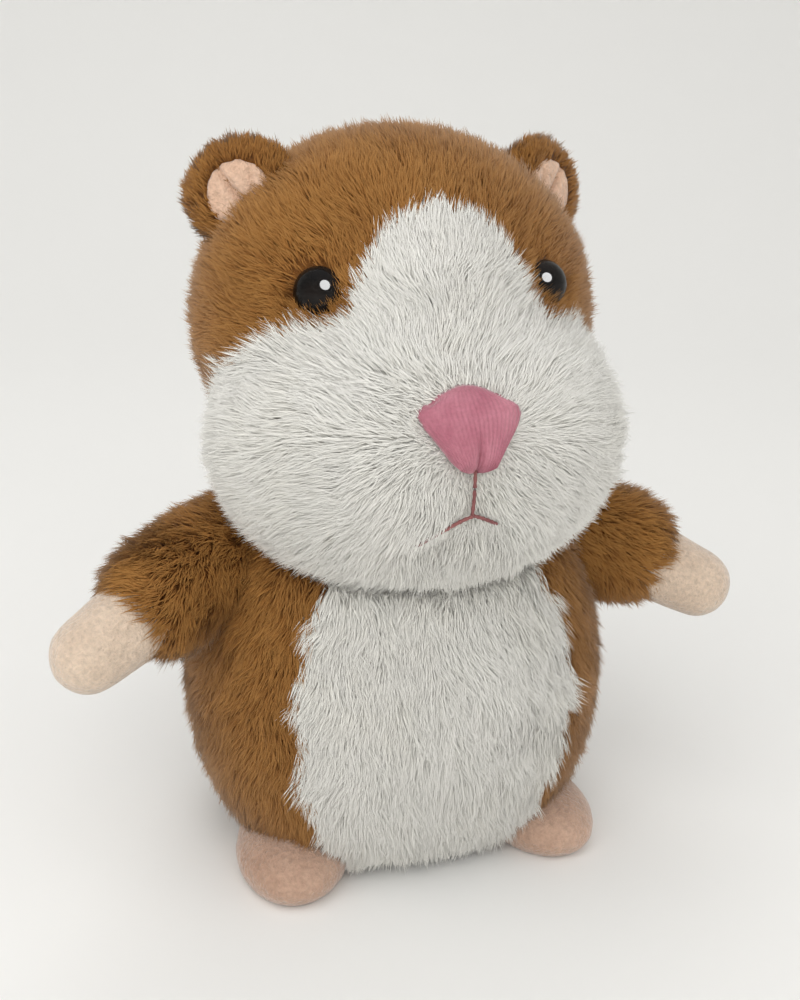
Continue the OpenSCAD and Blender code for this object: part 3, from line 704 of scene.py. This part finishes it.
class Fur:
    """Grows tufts of strands on a skin and makes closed tapered meshes of them."""

    MOST = 19000

    def __init__(self, seed):
        self.random = np.random.default_rng(seed)
        self.swirl = wave_noise(3, 15)

    def scatter(self, obj, per_mm2, keep):
        """Random places on the skin and their normals, where keep(points) is true; millimetres."""
        mesh = obj.data
        mesh.calc_loop_triangles()
        triangles = np.empty(len(mesh.loop_triangles) * 3, np.int64)
        mesh.loop_triangles.foreach_get("vertices", triangles)
        triangles = triangles.reshape(-1, 3)
        co, normals = coords(obj) / MM - AXIS, vertex_normals(obj)
        a, b, c = (co[triangles[:, k]] for k in range(3))
        areas = np.linalg.norm(np.cross(b - a, c - a), axis=1) / 2
        count = int(areas.sum() * per_mm2)
        chosen = np.searchsorted(np.cumsum(areas) / areas.sum(),
                                 (np.arange(count) + self.random.random(count)) / count)
        chosen = np.minimum(chosen, len(areas) - 1)
        u, v = self.random.random((2, count))
        flip = u + v > 1
        u, v = np.where(flip, 1 - u, u)[:, None], np.where(flip, 1 - v, v)[:, None]
        t = triangles[chosen]
        points = co[t[:, 0]] * (1 - u - v) + co[t[:, 1]] * u + co[t[:, 2]] * v
        normal = unit(normals[t[:, 0]] * (1 - u - v) + normals[t[:, 1]] * u + normals[t[:, 2]] * v)
        kept = keep(points)
        return points[kept], normal[kept]

    def grow(self, points, normals, comb, length, tone_noise, style):
        """Tufts at points: comb(points, normals) is how they lie, length(points) their length."""
        random = self.random
        n = len(points)
        flow = comb(points, normals)
        flow = flow - (flow * normals).sum(1, keepdims=True) * normals
        flow = unit(flow)
        across = np.cross(normals, flow)
        turn = random.normal(0, 0.7 * style.unruly, n)
        turn = (turn + 5.0 * style.unruly * (self.swirl(points) - 0.5))[:, None]
        flow = flow * np.cos(turn) + across * np.sin(turn)
        across = np.cross(normals, flow)
        lying = np.clip(style.lean + random.normal(0, 0.09, n), 0.05, 1.3)[:, None]
        long = (length(points) * random.uniform(0.82, 1.12, n))[:, None]
        tone = np.clip(tone_noise(points) + random.normal(0, 0.12, n), 0, 1)
        tip = points + long * (normals * np.cos(lying) + flow * np.sin(lying))
        # strands of each tuft
        total = n * style.strands
        owner = np.repeat(np.arange(n), style.strands)
        angle = random.uniform(0, 2 * math.pi, total)
        radius = style.spread * np.sqrt(random.random(total))
        offset = ((np.cos(angle) * radius)[:, None] * flow[owner]
                  + (np.sin(angle) * radius)[:, None] * across[owner])
        root = points[owner] + offset - 0.35 * normals[owner]
        gather = random.uniform(*style.gathering, total)[:, None]
        own = random.uniform(0.78, 1.05, total)[:, None]
        end = root + (tip[owner] + offset * (1 - gather) - root) * own
        end += random.normal(0, 0.3, (total, 3))
        end[:, 2] = np.maximum(end[:, 2], 0.4)
        sag = 0.12 * long[owner] * own
        middle = (root + end) / 2 + normals[owner] * sag + random.normal(0, 0.16, (total, 3))
        tones = np.clip(tone[owner] + random.normal(0, 0.07, total), 0.02, 0.97)
        thick = style.width * random.uniform(0.8, 1.2, total)
        return root, middle, end, tones, thick, normals[owner]

    def meshes(self, name, strands, material):
        """The strands as pieces that each stay light enough to export whole."""
        height = strands[0][:, 2]
        order = np.argsort(height, kind="stable")
        share = math.ceil(len(order) / self.MOST)
        return [self.mesh(f"{name}_{i + 1}" if share > 1 else name,
                          [a[rows] for a in strands], material)
                for i, rows in enumerate(np.array_split(order, share))]

    def mesh(self, name, strands, material):
        """Closed three-sided spikes: points 0 to 2 at the root, 3 to 5 midway and 6 the tip."""
        root, middle, end, tones, thick, outward = strands
        n = len(root)
        along = unit(end - root)
        side = unit(np.cross(along, outward + self.random.normal(0, 0.25, (n, 3))))
        up = np.cross(side, along)
        rows = []
        for centre, share in ((root, 0.9), (middle, 0.85)):
            half = (thick * share / 2)[:, None]
            rows += [centre + half * side, centre - half * side, centre - half * 0.9 * up]
        rows.append(end)
        vertices = np.stack(rows, 1).reshape(-1, 3)
        pattern = [(0, 1, 2)]
        for k in range(3):
            j = (k + 1) % 3
            pattern += [(k, j + 3, j), (k, k + 3, j + 3), (k + 3, 6, j + 3)]
        pattern = np.array(pattern)
        faces = (np.arange(n)[:, None, None] * STRAND_POINTS + pattern[None]).reshape(-1, 3)
        height = np.array([0, 0, 0, 0.5, 0.5, 0.5, 1.0])
        v = height[pattern][None].repeat(n, 0).reshape(-1)
        slide = np.array([0, 0.006, 0.012, 0, 0.006, 0.012, 0.006])
        u = (tones[:, None, None] + slide[pattern][None]).reshape(-1)
        mesh = bpy.data.meshes.new(name)
        mesh.vertices.add(len(vertices))
        mesh.vertices.foreach_set("co", place(vertices).astype(np.float32).ravel())
        mesh.loops.add(faces.size)
        mesh.loops.foreach_set("vertex_index", faces.astype(np.int32).ravel())
        mesh.polygons.add(len(faces))
        mesh.polygons.foreach_set("loop_start", np.arange(0, faces.size, 3, dtype=np.int32))
        mesh.update(calc_edges=True)
        layer = mesh.uv_layers.new(name="OFBake")
        layer.data.foreach_set("uv", np.column_stack([u, v]).astype(np.float32).ravel())
        mesh.shade_smooth()
        # light falls on the pile as on the skin below it, as it does on real translucent fibres
        ring = np.stack([outward + 0.35 * side, outward - 0.35 * side, outward - 0.2 * up], 1)
        shading = np.concatenate([ring, ring, (outward + 0.35 * along)[:, None]], 1)
        mesh.normals_split_custom_set_from_vertices(
            unit(shading).reshape(-1, 3).astype(np.float32))
        mesh.materials.append(MATERIALS[material])
        return add_object(name, mesh)


def wave_noise(seed, size, octaves=3):
    """Smooth random tone over space, 0 to 1, from a few sine waves in random directions."""
    random = np.random.default_rng(seed)
    waves = []
    for octave in range(octaves):
        for _ in range(6):
            waves.append((unit(random.normal(0, 1, 3)) * 2 * math.pi / (size / 1.9 ** octave),
                          random.uniform(0, 2 * math.pi), 0.6 ** octave))

    def tone(points):
        total = sum(w * np.sin(points @ k + phase) for k, phase, w in waves)
        return 0.5 + 0.16 * total / math.sqrt(octaves)

    return tone


def away_from(centre):
    """Comb that flows away from a point."""
    return lambda points, normals: unit(points - centre)


def one_way(direction):
    """Comb that lies one way everywhere."""
    return lambda points, normals: np.tile(direction, (len(points), 1))


def head_comb(points, normals):
    """Away from the nose over the face, then down the back of the head."""
    flow = unit(points - NOSE_AT)
    back = np.clip(points[:, 1] / 30, 0, 1)[:, None]
    return flow * (1 - back) + vec(0, 0.15, -1.0) * back


def body_comb(points, normals):
    """Down, and a little outwards."""
    outward = points * vec(1, 1, 0) - vec(0, BODY_Y, 0)
    return vec(0, 0, -1.0) + 0.25 * unit(outward)


# ---------- Panels and what each piece stands for ----------

CLOTH_THICKNESS = 1.0
BELLY_HALF = vec(29.5, 44)
BELLY_Z = 42


def dress(piece, body, nodes=()):
    """Hangs a piece on the empty of its body and hides the CAD nodes it stands for."""
    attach(piece, body)
    if nodes:
        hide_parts(*nodes)


def split_by(obj, name, inside, material):
    """Moves the faces whose middle satisfies inside(points) into a new object."""
    bm = bmesh.new()
    bm.from_mesh(obj.data)
    bm.faces.ensure_lookup_table()
    middles = np.array([f.calc_center_median() for f in bm.faces]) / MM - AXIS
    chosen = inside(middles)
    taken = bm.copy()
    taken.faces.ensure_lookup_table()
    bmesh.ops.delete(taken, geom=[f for f, c in zip(taken.faces, chosen) if not c], context="FACES")
    bmesh.ops.delete(bm, geom=[f for f, c in zip(bm.faces, chosen) if c], context="FACES")
    bm.to_mesh(obj.data)
    mesh = bpy.data.meshes.new(name)
    taken.to_mesh(mesh)
    bm.free()
    taken.free()
    mesh.materials.clear()
    mesh.materials.append(MATERIALS[material])
    mesh.shade_smooth()
    return add_object(name, mesh)


def remove_where(obj, inside):
    bpy.data.objects.remove(split_by(obj, "cut_away", inside, "brown_plush"))


def is_belly(points):
    x, z = points[:, 0] / BELLY_HALF[0], (points[:, 2] - BELLY_Z) / BELLY_HALF[1]
    return (x ** 2 + z ** 2 < 1) & (points[:, 1] < BODY_Y)


def opening(half_x, half_y, bottom, top):
    """Test for points inside an upright box on the body's axis."""
    def inside(points):
        x, y, z = np.abs(points.T)
        return (x < half_x) & (y < half_y) & (z > bottom) & (z < top)

    return inside


near_neck = opening(21, 13, 0, NECK_Z + 2)
near_tower = opening(20.6, 19.6, 40, TOWER_TOP_Z + 1)
near_case = opening(*OPENING_HALF, 0, 3)
under_head = opening(24, 25, 0, NECK_Z - 2)


def over_tower(points):
    return near_neck(points) | near_tower(points)


def segment_distance(points, a, b):
    a, b = np.asarray(a, float), np.asarray(b, float)
    t = np.clip(((points - a) @ (b - a)) / ((b - a) @ (b - a)), 0, 1)[:, None]
    return np.linalg.norm(points - (a + t * (b - a)), axis=1)


# ---------- Head and body: pile on the whole form, then the form cut into cloth ----------

fur = Fur(SEED)
TUFTS = 1.0
BROWN_STYLE = Style(1.6, 8, 0.97, 0.25, 0.26, (0.1, 0.6))
WHITE_STYLE = Style(1.6, 11, 1.02, 0.22, 0.26, (0.0, 0.5))
ARM_STYLE = Style(1.5, 8, 0.84, 0.28, 0.36, (0.2, 0.8))
EAR_STYLE = Style(1.1, 8, 1.02, 0.24, 0.25, (0.1, 0.5))
FRINGE_STYLE = Style(0.9, 7, 0.42, 0.2, 0.35, (0.1, 0.6))
brown_tone, white_tone = wave_noise(1, 22), wave_noise(2, 30)

WHITE_LENGTH, BROWN_LENGTH = 7.4, 6.0
BELLY_LENGTH, BODY_LENGTH = 7.3, 6.4
FRINGE_LENGTH, ARM_LENGTH, EAR_LENGTH = 5.6, 6.0, 3.1
BRIDGE_SHORTER = 2.0
# shares of its length that pile keeps above and below an eye, along the mouth, round the nose,
# under the head and at the bottom's edge, and the body's pile under the head
ABOVE_EYE, BELOW_EYE, AT_MOUTH, AT_NOSE = 0.45, 0.95, 0.35, 0.4
HEAD_UNDERSIDE, AT_BOTTOM, UNDER_HEAD = 0.3, 0.45, 0.35
EYES = [cad_centre(node) - AXIS for node in ("left_eye", "right_eye")]
EYE_CLEAR = 5.1
LIPS = (
    ((0, -48, NOSE_AT[2] - 6), (0, -46.5, MOUTH_Z)),
    ((0, -46.5, MOUTH_Z), (-10, -44, MOUTH_Z - 6.5)),
    ((0, -46.5, MOUTH_Z), (5, -46, MOUTH_Z - 2.5)),
)


def ease(values, start, span, low):
    """Rises from low to 1 as values pass from start over span."""
    return low + (1 - low) * np.clip((values - start) / span, 0, 1)


def face_clear(points):
    """Nothing grows under the eyes or the nose, nor over the neck."""
    keep = np.ones(len(points), bool)
    for at in EYES:
        keep &= np.linalg.norm(points - at, axis=1) > EYE_CLEAR
    rise = (points[:, 2] - NOSE_AT[2]) / NOSE_HEIGHT
    nose = np.array([points[:, 0] / (6.6 + 4.5 * rise), 1.9 * rise])
    keep &= ~(((nose ** 2).sum(0) < 1) & (points[:, 1] < -35))
    return keep & ~under_head(points)


def face_length(points):
    """Pile length over the head: short on the bridge, at the eyes and along the mouth."""
    white = is_white(points)
    length = np.where(white, WHITE_LENGTH, BROWN_LENGTH)
    up_bridge = np.clip((points[:, 2] - (HEAD_Z - 2)) / 14, 0, 1)
    length = length - BRIDGE_SHORTER * (up_bridge * (np.abs(points[:, 0]) < 20) * white)
    for at in EYES:
        shortest = np.where(points[:, 2] < at[2] + 0.5, BELOW_EYE, ABOVE_EYE)
        length = length * ease(np.linalg.norm(points - at, axis=1), 5, 6, shortest)
    mouth = np.min([segment_distance(points, *lip) for lip in LIPS], 0)
    length = length * ease(mouth, 0.8, 4.0, AT_MOUTH)
    nose = np.linalg.norm((points - NOSE_AT) * vec(0.85, 1, 1), axis=1)
    length = length * ease(nose, 8, 8, AT_NOSE)
    # where the head lies on the body its pile is worn short
    over_body = np.sqrt((points[:, 0] / 38) ** 2 + ((points[:, 1] - BODY_Y) / 30) ** 2)
    below = np.clip((HEAD_Z - 28 - points[:, 2]) / 6, 0, 1)
    worn = below * np.clip((1 - over_body) / 0.25, 0, 1)
    return length * (1 - (1 - HEAD_UNDERSIDE) * worn)


def body_clear(points):
    return (points[:, 2] > 2.0) & ~over_tower(points)


def body_length(points):
    """Pile length over the body: short at the bottom's edge and under the head."""
    full = np.where(is_belly(points), BELLY_LENGTH, BODY_LENGTH)
    z = points[:, 2]
    return full * ease(z, 1, 8, AT_BOTTOM) * ease(head_floor(points, 0) - z, 0, 4, UNDER_HEAD)


def below_eye(points):
    kept = np.zeros(len(points), bool)
    for at in EYES:
        away = np.linalg.norm(points - at, axis=1)
        kept |= (away > 5.2) & (away < 7.6) & (points[:, 2] < at[2] - 0.6)
    return kept


def two_tone_pile(core, clear, is_pale, comb, length, names, body):
    """Tufts on the whole form, shared out between its brown and its white panel."""
    points, normals = fur.scatter(core, TUFTS, clear)
    pale = is_pale(points)
    for name, mask, tone, shade, style in (
            (names[0], ~pale, brown_tone, "brown", BROWN_STYLE),
            (names[1], pale, white_tone, "white", WHITE_STYLE)):
        strands = fur.grow(points[mask], normals[mask], comb, length, tone, style)
        for piece in fur.meshes(name, strands, shade + "_fur"):
            dress(piece, body)


def brown_pile(name, core, density, clear, comb, length, style):
    points, normals = fur.scatter(core, density * TUFTS, clear)
    strands = fur.grow(points, normals, comb, lambda p: np.full(len(p), length), brown_tone, style)
    return fur.mesh(name, strands, "brown_fur")


def two_tone_cloth(core, is_pale, opening, names, nodes, body):
    """Cuts the form into a brown and a white panel, both open where something passes through."""
    pale = split_by(core, names[1], is_pale, "white_plush")
    core.name = core.data.name = names[0]
    for cloth in (pale, core):
        remove_where(cloth, opening)
        modify(cloth, "SOLIDIFY", thickness=CLOTH_THICKNESS * MM, offset=-1)
    dress(pale, body, [nodes[1]])
    dress(core, body, [nodes[0]])


head_core = make_head_core()
body_core = make_body_core()

two_tone_pile(head_core, face_clear, is_white, head_comb, face_length,
              ("head_pile", "face_pile"), "head")
# wisps that stand up from the cheek in front of each eye's lower rim
dress(brown_pile("eye_fringe", head_core, 1.2, below_eye, one_way([0, 0, 1.0]), FRINGE_LENGTH,
                 FRINGE_STYLE), "head")
two_tone_cloth(head_core, is_white, near_neck,
               ("head_cloth", "face_cloth"), ("head_skin", "face_panel"), "head")

two_tone_pile(body_core, body_clear, is_belly, body_comb, body_length,
              ("body_pile", "belly_pile"), "body")
two_tone_cloth(body_core, is_belly, lambda points: near_case(points) | over_tower(points),
               ("body_cloth", "belly_cloth"), ("body_skin", "belly_panel"), "body")


# ---------- Arms, feet and ears ----------

ARM_ALONG = unit(WRIST - SHOULDER)
SLEEVE_RADII, SLEEVE_SHAPE = (12.5 - SKIN_INSET, 12.2 - SKIN_INSET), (0.95, 1.05, 1.03)
PAW_RADII, PAW_SHAPE = (9.3, 8.3), (1.0, 1.04, 1.0)
LINING_HALF = vec(7.2, 2.2, 6.9)
LINING_AT = vec(0, -3.3, 0)
# depth, lean and place of each sewn fold in an ear
EAR_FOLDS = ((1.7, 0.5, 0.4), (0.8, -0.2, -3.2))
FOLD_WIDTH = 0.8


def make_arm(side, tag):
    body = tag + "_arm"
    sleeve = make_limb(tag + "_sleeve_cloth",
                       capsule(SHOULDER - ARM_ALONG * 7, WRIST - ARM_ALONG * 4, *SLEEVE_RADII,
                               SLEEVE_SHAPE), side, "brown_plush", voxel=2.4, cap=0.8)
    paw = make_limb(tag + "_paw_velour",
                    capsule(WRIST - ARM_ALONG * 6, PAW_TIP, *PAW_RADII, PAW_SHAPE),
                    side, "paw_velour", voxel=1.8, cap=0.6)
    arm_axis, shoulder_at = mirrored(ARM_ALONG, side), mirrored(SHOULDER, side)
    length_along = float(np.linalg.norm(WRIST - SHOULDER))

    def on_sleeve(points):
        reached = (points - shoulder_at) @ arm_axis
        return (reached > -6) & (reached < length_along + 6.5)

    pile = brown_pile(tag + "_sleeve_pile", sleeve, 1.0, on_sleeve,
                      one_way(arm_axis + vec(0, 0, -0.35)), ARM_LENGTH, ARM_STYLE)
    for piece in (pile, sleeve):
        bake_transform(piece)
    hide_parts(tag + "_sleeve", tag + "_arm_stuffing")
    dress(paw, body, [tag + "_paw"])


def make_foot(side, tag):
    foot = make_ellipsoid(tag + "_foot_velour", FOOT_AT, FOOT_HALF * [0.98, 0.98, 1.0], FOOT_TURN,
                          side, "foot_velour", voxel=1.9, cap=0.7)
    co = coords(foot)
    co[:, 2] = np.maximum(co[:, 2], 0)
    set_coords(foot, co)
    cut_round_case(foot, 0.4)
    dress(foot, "body", [tag + "_foot"])


def cup_ear(obj, turn, side, depth):
    """Cups the front of an ear or its lining and presses the sewn folds into it."""
    flip, ear_at = [side, 1, 1], mirrored(EAR_AT, side)
    local = (coords(obj) / MM - AXIS - ear_at) * flip @ turn
    x, z = local[:, 0], local[:, 2]
    middle = np.clip(1 - (x / LINING_HALF[0]) ** 2 - (z / LINING_HALF[2]) ** 2, 0, 1)
    front = np.clip((-2.5 - local[:, 1]) / 1.2, 0, 1)
    folds = sum(deep * np.exp(-((x - lean * z - at) / FOLD_WIDTH) ** 2)
                for deep, lean, at in EAR_FOLDS)
    local[:, 1] += front * depth * (1.3 * middle + folds * middle ** 0.5)
    set_coords(obj, place(ear_at + (local @ turn.T) * flip))


def make_ear(side, tag):
    ear = make_ellipsoid(tag + "_ear_cloth", EAR_AT, EAR_HALF - [1.4, 0.6, 1.4], EAR_TURN, side,
                         "brown_plush", voxel=1.7, cap=0.4)
    turn = rotation(EAR_TURN)
    ear_at = mirrored(EAR_AT, side)
    cup_ear(ear, turn, side, 1.25)

    def on_ear(points):
        local = (points - ear_at) * [side, 1, 1] @ turn
        on_lining = (local[:, 0] / 6.6) ** 2 + (local[:, 2] / 6.3) ** 2 < 1
        in_head = (((points - SKULL_AT) / (SKULL_HALF - 1)) ** 2).sum(1) < 1
        return ~(on_lining & (local[:, 1] < -1.5)) & ~in_head

    pile = brown_pile(tag + "_ear_pile", ear, 1.3, on_ear,
                      away_from(ear_at - vec(side * 4, 0, 9)), EAR_LENGTH, EAR_STYLE)
    dress(pile, "head")
    dress(ear, "head", [tag + "_ear"])
    lining = make_ellipsoid(tag + "_lining_velour", EAR_AT + turn @ LINING_AT, LINING_HALF,
                            EAR_TURN, side, "ear_velour", voxel=0.9, cap=0.2)
    cup_ear(lining, turn, side, 1.0)
    dress(lining, "head", [tag + "_ear_lining"])


for side, tag in ((1, "left"), (-1, "right")):
    make_arm(side, tag)
    make_foot(side, tag)
    make_ear(side, tag)


# ---------- Nose and mouth ----------

# share of the nose's height from the top down, half width
NOSE_OUTLINE = np.array([(0, 7.0), (0.04, 8.8), (0.1, 9.8), (0.2, 10.1), (0.36, 9.2), (0.6, 7.0),
                         (0.78, 5.4), (0.9, 4.4), (0.96, 3.6), (1.0, 2.2)])
NOSE_ROWS, NOSE_COLUMNS = 72, 96
NOSE_ARCH, NOSE_DOME, NOSE_CREASE = 2.6, 3.9, 1.5
STITCH_HEIGHT, STITCHES = 0.3, 11
THREAD_RADIUS = 0.36


def muzzle_surface(x, z, out):
    """Point on the muzzle's front at x and z, out millimetres off its skin."""
    half = MUZZLE_HALF - SKIN_INSET + out
    rest = 1 - (x / half[0]) ** 2 - ((z - MUZZLE_AT[2]) / half[2]) ** 2
    return np.array([x, MUZZLE_AT[1] - half[1] * math.sqrt(max(rest, 0)), z])


def nose_point(s, v):
    """Point of the nose's front; s runs -1 to 1 across it and v 0 to 1 from the top down."""
    x = s * np.interp(v, NOSE_OUTLINE[:, 0], NOSE_OUTLINE[:, 1])
    arch = NOSE_ARCH * (1 - s * s) * (1 - v) ** 2
    z = NOSE_AT[2] + NOSE_HEIGHT * (0.42 - v) + arch + 0.8 * abs(s) ** 3 * v
    rim = max(abs(s), abs(2 * v - 1))
    dome = NOSE_DOME * (1 - rim ** 2.4) ** 0.62 if rim < 1 else 0.0
    crease = NOSE_CREASE * math.exp(-(x / 0.8) ** 2) * min(max((v - 0.38) / 0.3, 0), 1)
    stitch = STITCH_HEIGHT * abs(math.sin(math.pi * (s * STITCHES + 1.5 * (v - 0.5) * s)))
    return muzzle_surface(x, z, 1.0 + dome - crease * (rim < 0.99) + stitch * (rim < 0.985))


def make_nose():
    """Padded satin-stitched nose: a rounded trapezium, arched at its top and creased below."""
    front = np.array([nose_point(2 * k / NOSE_COLUMNS - 1, i / NOSE_ROWS)
                      for i in range(NOSE_ROWS + 1) for k in range(NOSE_COLUMNS + 1)])
    back = front.copy()
    back[:, 1] = np.array([muzzle_surface(p[0], p[2], -0.4)[1] for p in front])
    count, n = NOSE_COLUMNS + 1, len(front)
    faces = []
    for i in range(NOSE_ROWS):
        for k in range(NOSE_COLUMNS):
            a = i * count + k
            faces.append((a, a + count, a + count + 1, a + 1))
            faces.append((n + a, n + a + 1, n + a + count + 1, n + a + count))
    border = (list(range(NOSE_COLUMNS))
              + [i * count + NOSE_COLUMNS for i in range(NOSE_ROWS)]
              + [NOSE_ROWS * count + k for k in range(NOSE_COLUMNS, 0, -1)]
              + [i * count for i in range(NOSE_ROWS, 0, -1)])
    for a, b in zip(border, border[1:] + border[:1]):
        faces.append((a, b, n + b, n + a))
    nose = new_object("nose_stitched", place(np.vstack([front, back])), faces, "nose_embroidery")
    recalculate(nose)
    dress(nose, "head", ["nose"])


def make_thread(line, radius):
    """Twisted thread laid along a line of points in millimetres."""
    stations = [[*p, radius * (1 + 0.16 * math.sin(i * 1.9))]
                for i, p in enumerate(spline(line, 6))]
    return loft(sweep(stations, 10))


def make_mouth():
    lines = [
        [muzzle_surface(0, z, 1.1) for z in np.linspace(NOSE_AT[2] - 5, MOUTH_Z, 5)],
        [muzzle_surface(-t * 10, MOUTH_Z - 6.5 * t ** 1.3, 1.5 - 0.2 * t)
         for t in np.linspace(0, 1, 6)],
        [muzzle_surface(t * 5.5, MOUTH_Z - 2.6 * t ** 1.2, 1.1) for t in np.linspace(0, 1, 4)],
    ]
    vertices, faces = np.zeros((0, 3)), []
    for line in lines:
        v, f = make_thread(line, THREAD_RADIUS)
        faces += [tuple(i + len(vertices) for i in face) for face in f]
        vertices = np.vstack([vertices, v])
    mouth = new_object("mouth_stitches", place(vertices), faces, "mouth_embroidery")
    recalculate(mouth)
    dress(mouth, "head", ["mouth_thread"])


make_nose()
make_mouth()


# ---------- Filling ----------

FILLING_VOXEL = 2.6
FILLING_BOTTOM = 2.5
FILLING_INSET, LUMP_DEPTH = 0.9, 0.8
NARROWING, NARROW_BELOW = 0.13, 26


def make_filling(node, body):
    """Batting in the place of a CAD stuffing solid."""
    fill = add_object(node.replace("stuffing", "filling"), frame["nodes"][node].data.copy())
    fill.data.materials.clear()
    fill.data.materials.append(MATERIALS["stuffing"])
    modify(fill, "REMESH", mode="VOXEL", voxel_size=FILLING_VOXEL * MM)
    modify(fill, "SMOOTH", factor=0.5, iterations=3)
    co, normals = coords(fill), vertex_normals(fill)
    lumps = wave_noise(5, 14)(co / MM)
    mm = (co - normals * (FILLING_INSET + LUMP_DEPTH * lumps)[:, None] * MM) / MM - AXIS
    if body == "body":
        # it stays inside the rounder corners of the cloth's bottom, and below the head
        narrow = 1 - NARROWING * np.clip(1 - mm[:, 2] / NARROW_BELOW, 0, 1)
        mm[:, 0] *= narrow
        mm[:, 1] = BODY_Y + (mm[:, 1] - BODY_Y) * narrow
        top = head_floor(mm, HEAD_CLEARANCE) - SKIN_INSET
        mm[:, 2] = np.minimum(np.maximum(mm[:, 2], FILLING_BOTTOM), top)
    set_coords(fill, place(mm))
    fill.data.shade_smooth()
    dress(fill, body, [node])


make_filling("body_stuffing", "body")
make_filling("head_stuffing", "head")


# ---------- Finish of the carried-over CAD nodes ----------

FINISHES = {
    "case_plastic": "lower_housing front_housing rear_housing neck_bracket battery_door",
    "gear_plastic": "gearbox_frame motor_end_cap first_gear second_gear crank_gear head_lever "
                    "head_frame",
    "steel": "door_screw motor_strap gear_axles housing_screws neck_pin lever_screws",
    "contact_metal": "contact_springs contact_plates motor_pinion",
    "motor_metal": "motor_can speaker_magnet microphone",
    "speaker_metal": "speaker_basket",
    "speaker_paper": "speaker_cone",
    "component_black": "board_components power_switch switch_knob neck_pin_clips",
    "board_green": "circuit_board",
    "cell_jacket": "battery_cells",
    "wire_insulation": "wiring",
    "eye_gloss": "left_eye right_eye",
    "washer_plastic": "eye_washers",
}
for material, nodes in FINISHES.items():
    for node in nodes.split():
        slots = frame["nodes"][node].data.materials
        if not slots:
            slots.append(None)
        for index in range(len(slots)):
            slots[index] = MATERIALS[material]


# ---------- Floor and light: metres ----------

FLOOR_FLAT, FLOOR_FILLET, FLOOR_WALL = 0.5, 0.95, 1.6
FLOOR_SIDES = 96
LIGHT_TARGET = (0, 0, 80)
# azimuth and elevation in degrees, distance and size in metres, power in watts
LIGHTS = {
    "key": (-52, 50, 0.8, 1.2, 4.2),
    "front": (0, 34, 1.0, 0.8, 1.7),
    "fill": (60, 30, 1.2, 0.8, 1.0),
    "back": (170, 50, 1.2, 0.8, 2.4),
}
CATCH_LIGHT = (10, 44, 0.6, 0.42, 25.0)
WORLD_STRENGTH = 0.58


def make_floor():
    """Pale floor that sweeps up into a round backdrop on every side."""
    profile = [(0.001, 0.0), (0.2, 0.0), (0.4, 0.0)]
    profile += [(FLOOR_FLAT + FLOOR_FILLET * math.sin(a), FLOOR_FILLET * (1 - math.cos(a)))
                for a in np.linspace(0, math.pi / 2, 40)]
    profile.append((FLOOR_FLAT + FLOOR_FILLET, FLOOR_FILLET + FLOOR_WALL))
    round_about = np.linspace(0, 2 * math.pi, FLOOR_SIDES, endpoint=False)
    vertices = [(r * math.cos(t), r * math.sin(t), z) for r, z in profile for t in round_about]
    faces = []
    for i in range(len(profile) - 1):
        for k in range(FLOOR_SIDES):
            a, b = i * FLOOR_SIDES + k, i * FLOOR_SIDES + (k + 1) % FLOOR_SIDES
            faces.append((a + FLOOR_SIDES, b + FLOOR_SIDES, b, a))
    floor = new_object("floor", vertices, faces, "case_plastic")
    g = Graph("floor_paper")
    g.set(Base_Color=srgb(244, 243, 240), Roughness=0.9)
    floor.data.materials[0] = g.material


def make_light(name, azimuth, elevation, distance, size, power):
    data = bpy.data.lights.new(name, "AREA")
    data.shape, data.size, data.energy = "DISK", size, power
    light = add_object(name, data)
    back = toward_viewer(azimuth, elevation)
    light.location = Vector(place(LIGHT_TARGET)) + back * distance
    light.rotation_mode = "QUATERNION"
    light.rotation_quaternion = back.to_track_quat("Z", "Y")
    return light


def make_catch_light():
    """A light that falls on the two glossy eyes alone."""
    eyes = bpy.data.collections.new("eyes")
    for node in ("left_eye", "right_eye"):
        eyes.objects.link(frame["nodes"][node])
    make_light("catch", *CATCH_LIGHT).light_linking.receiver_collection = eyes


def make_world():
    world = bpy.data.worlds.new("studio")
    bpy.context.scene.world = world
    world.use_nodes = True
    background = world.node_tree.nodes["Background"]
    background.inputs["Color"].default_value = srgb(238, 240, 244)
    background.inputs["Strength"].default_value = WORLD_STRENGTH


make_floor()
for name, values in LIGHTS.items():
    make_light(name, *values).visible_glossy = False
make_catch_light()
make_world()
bpy.context.scene.view_settings.view_transform = "Standard"
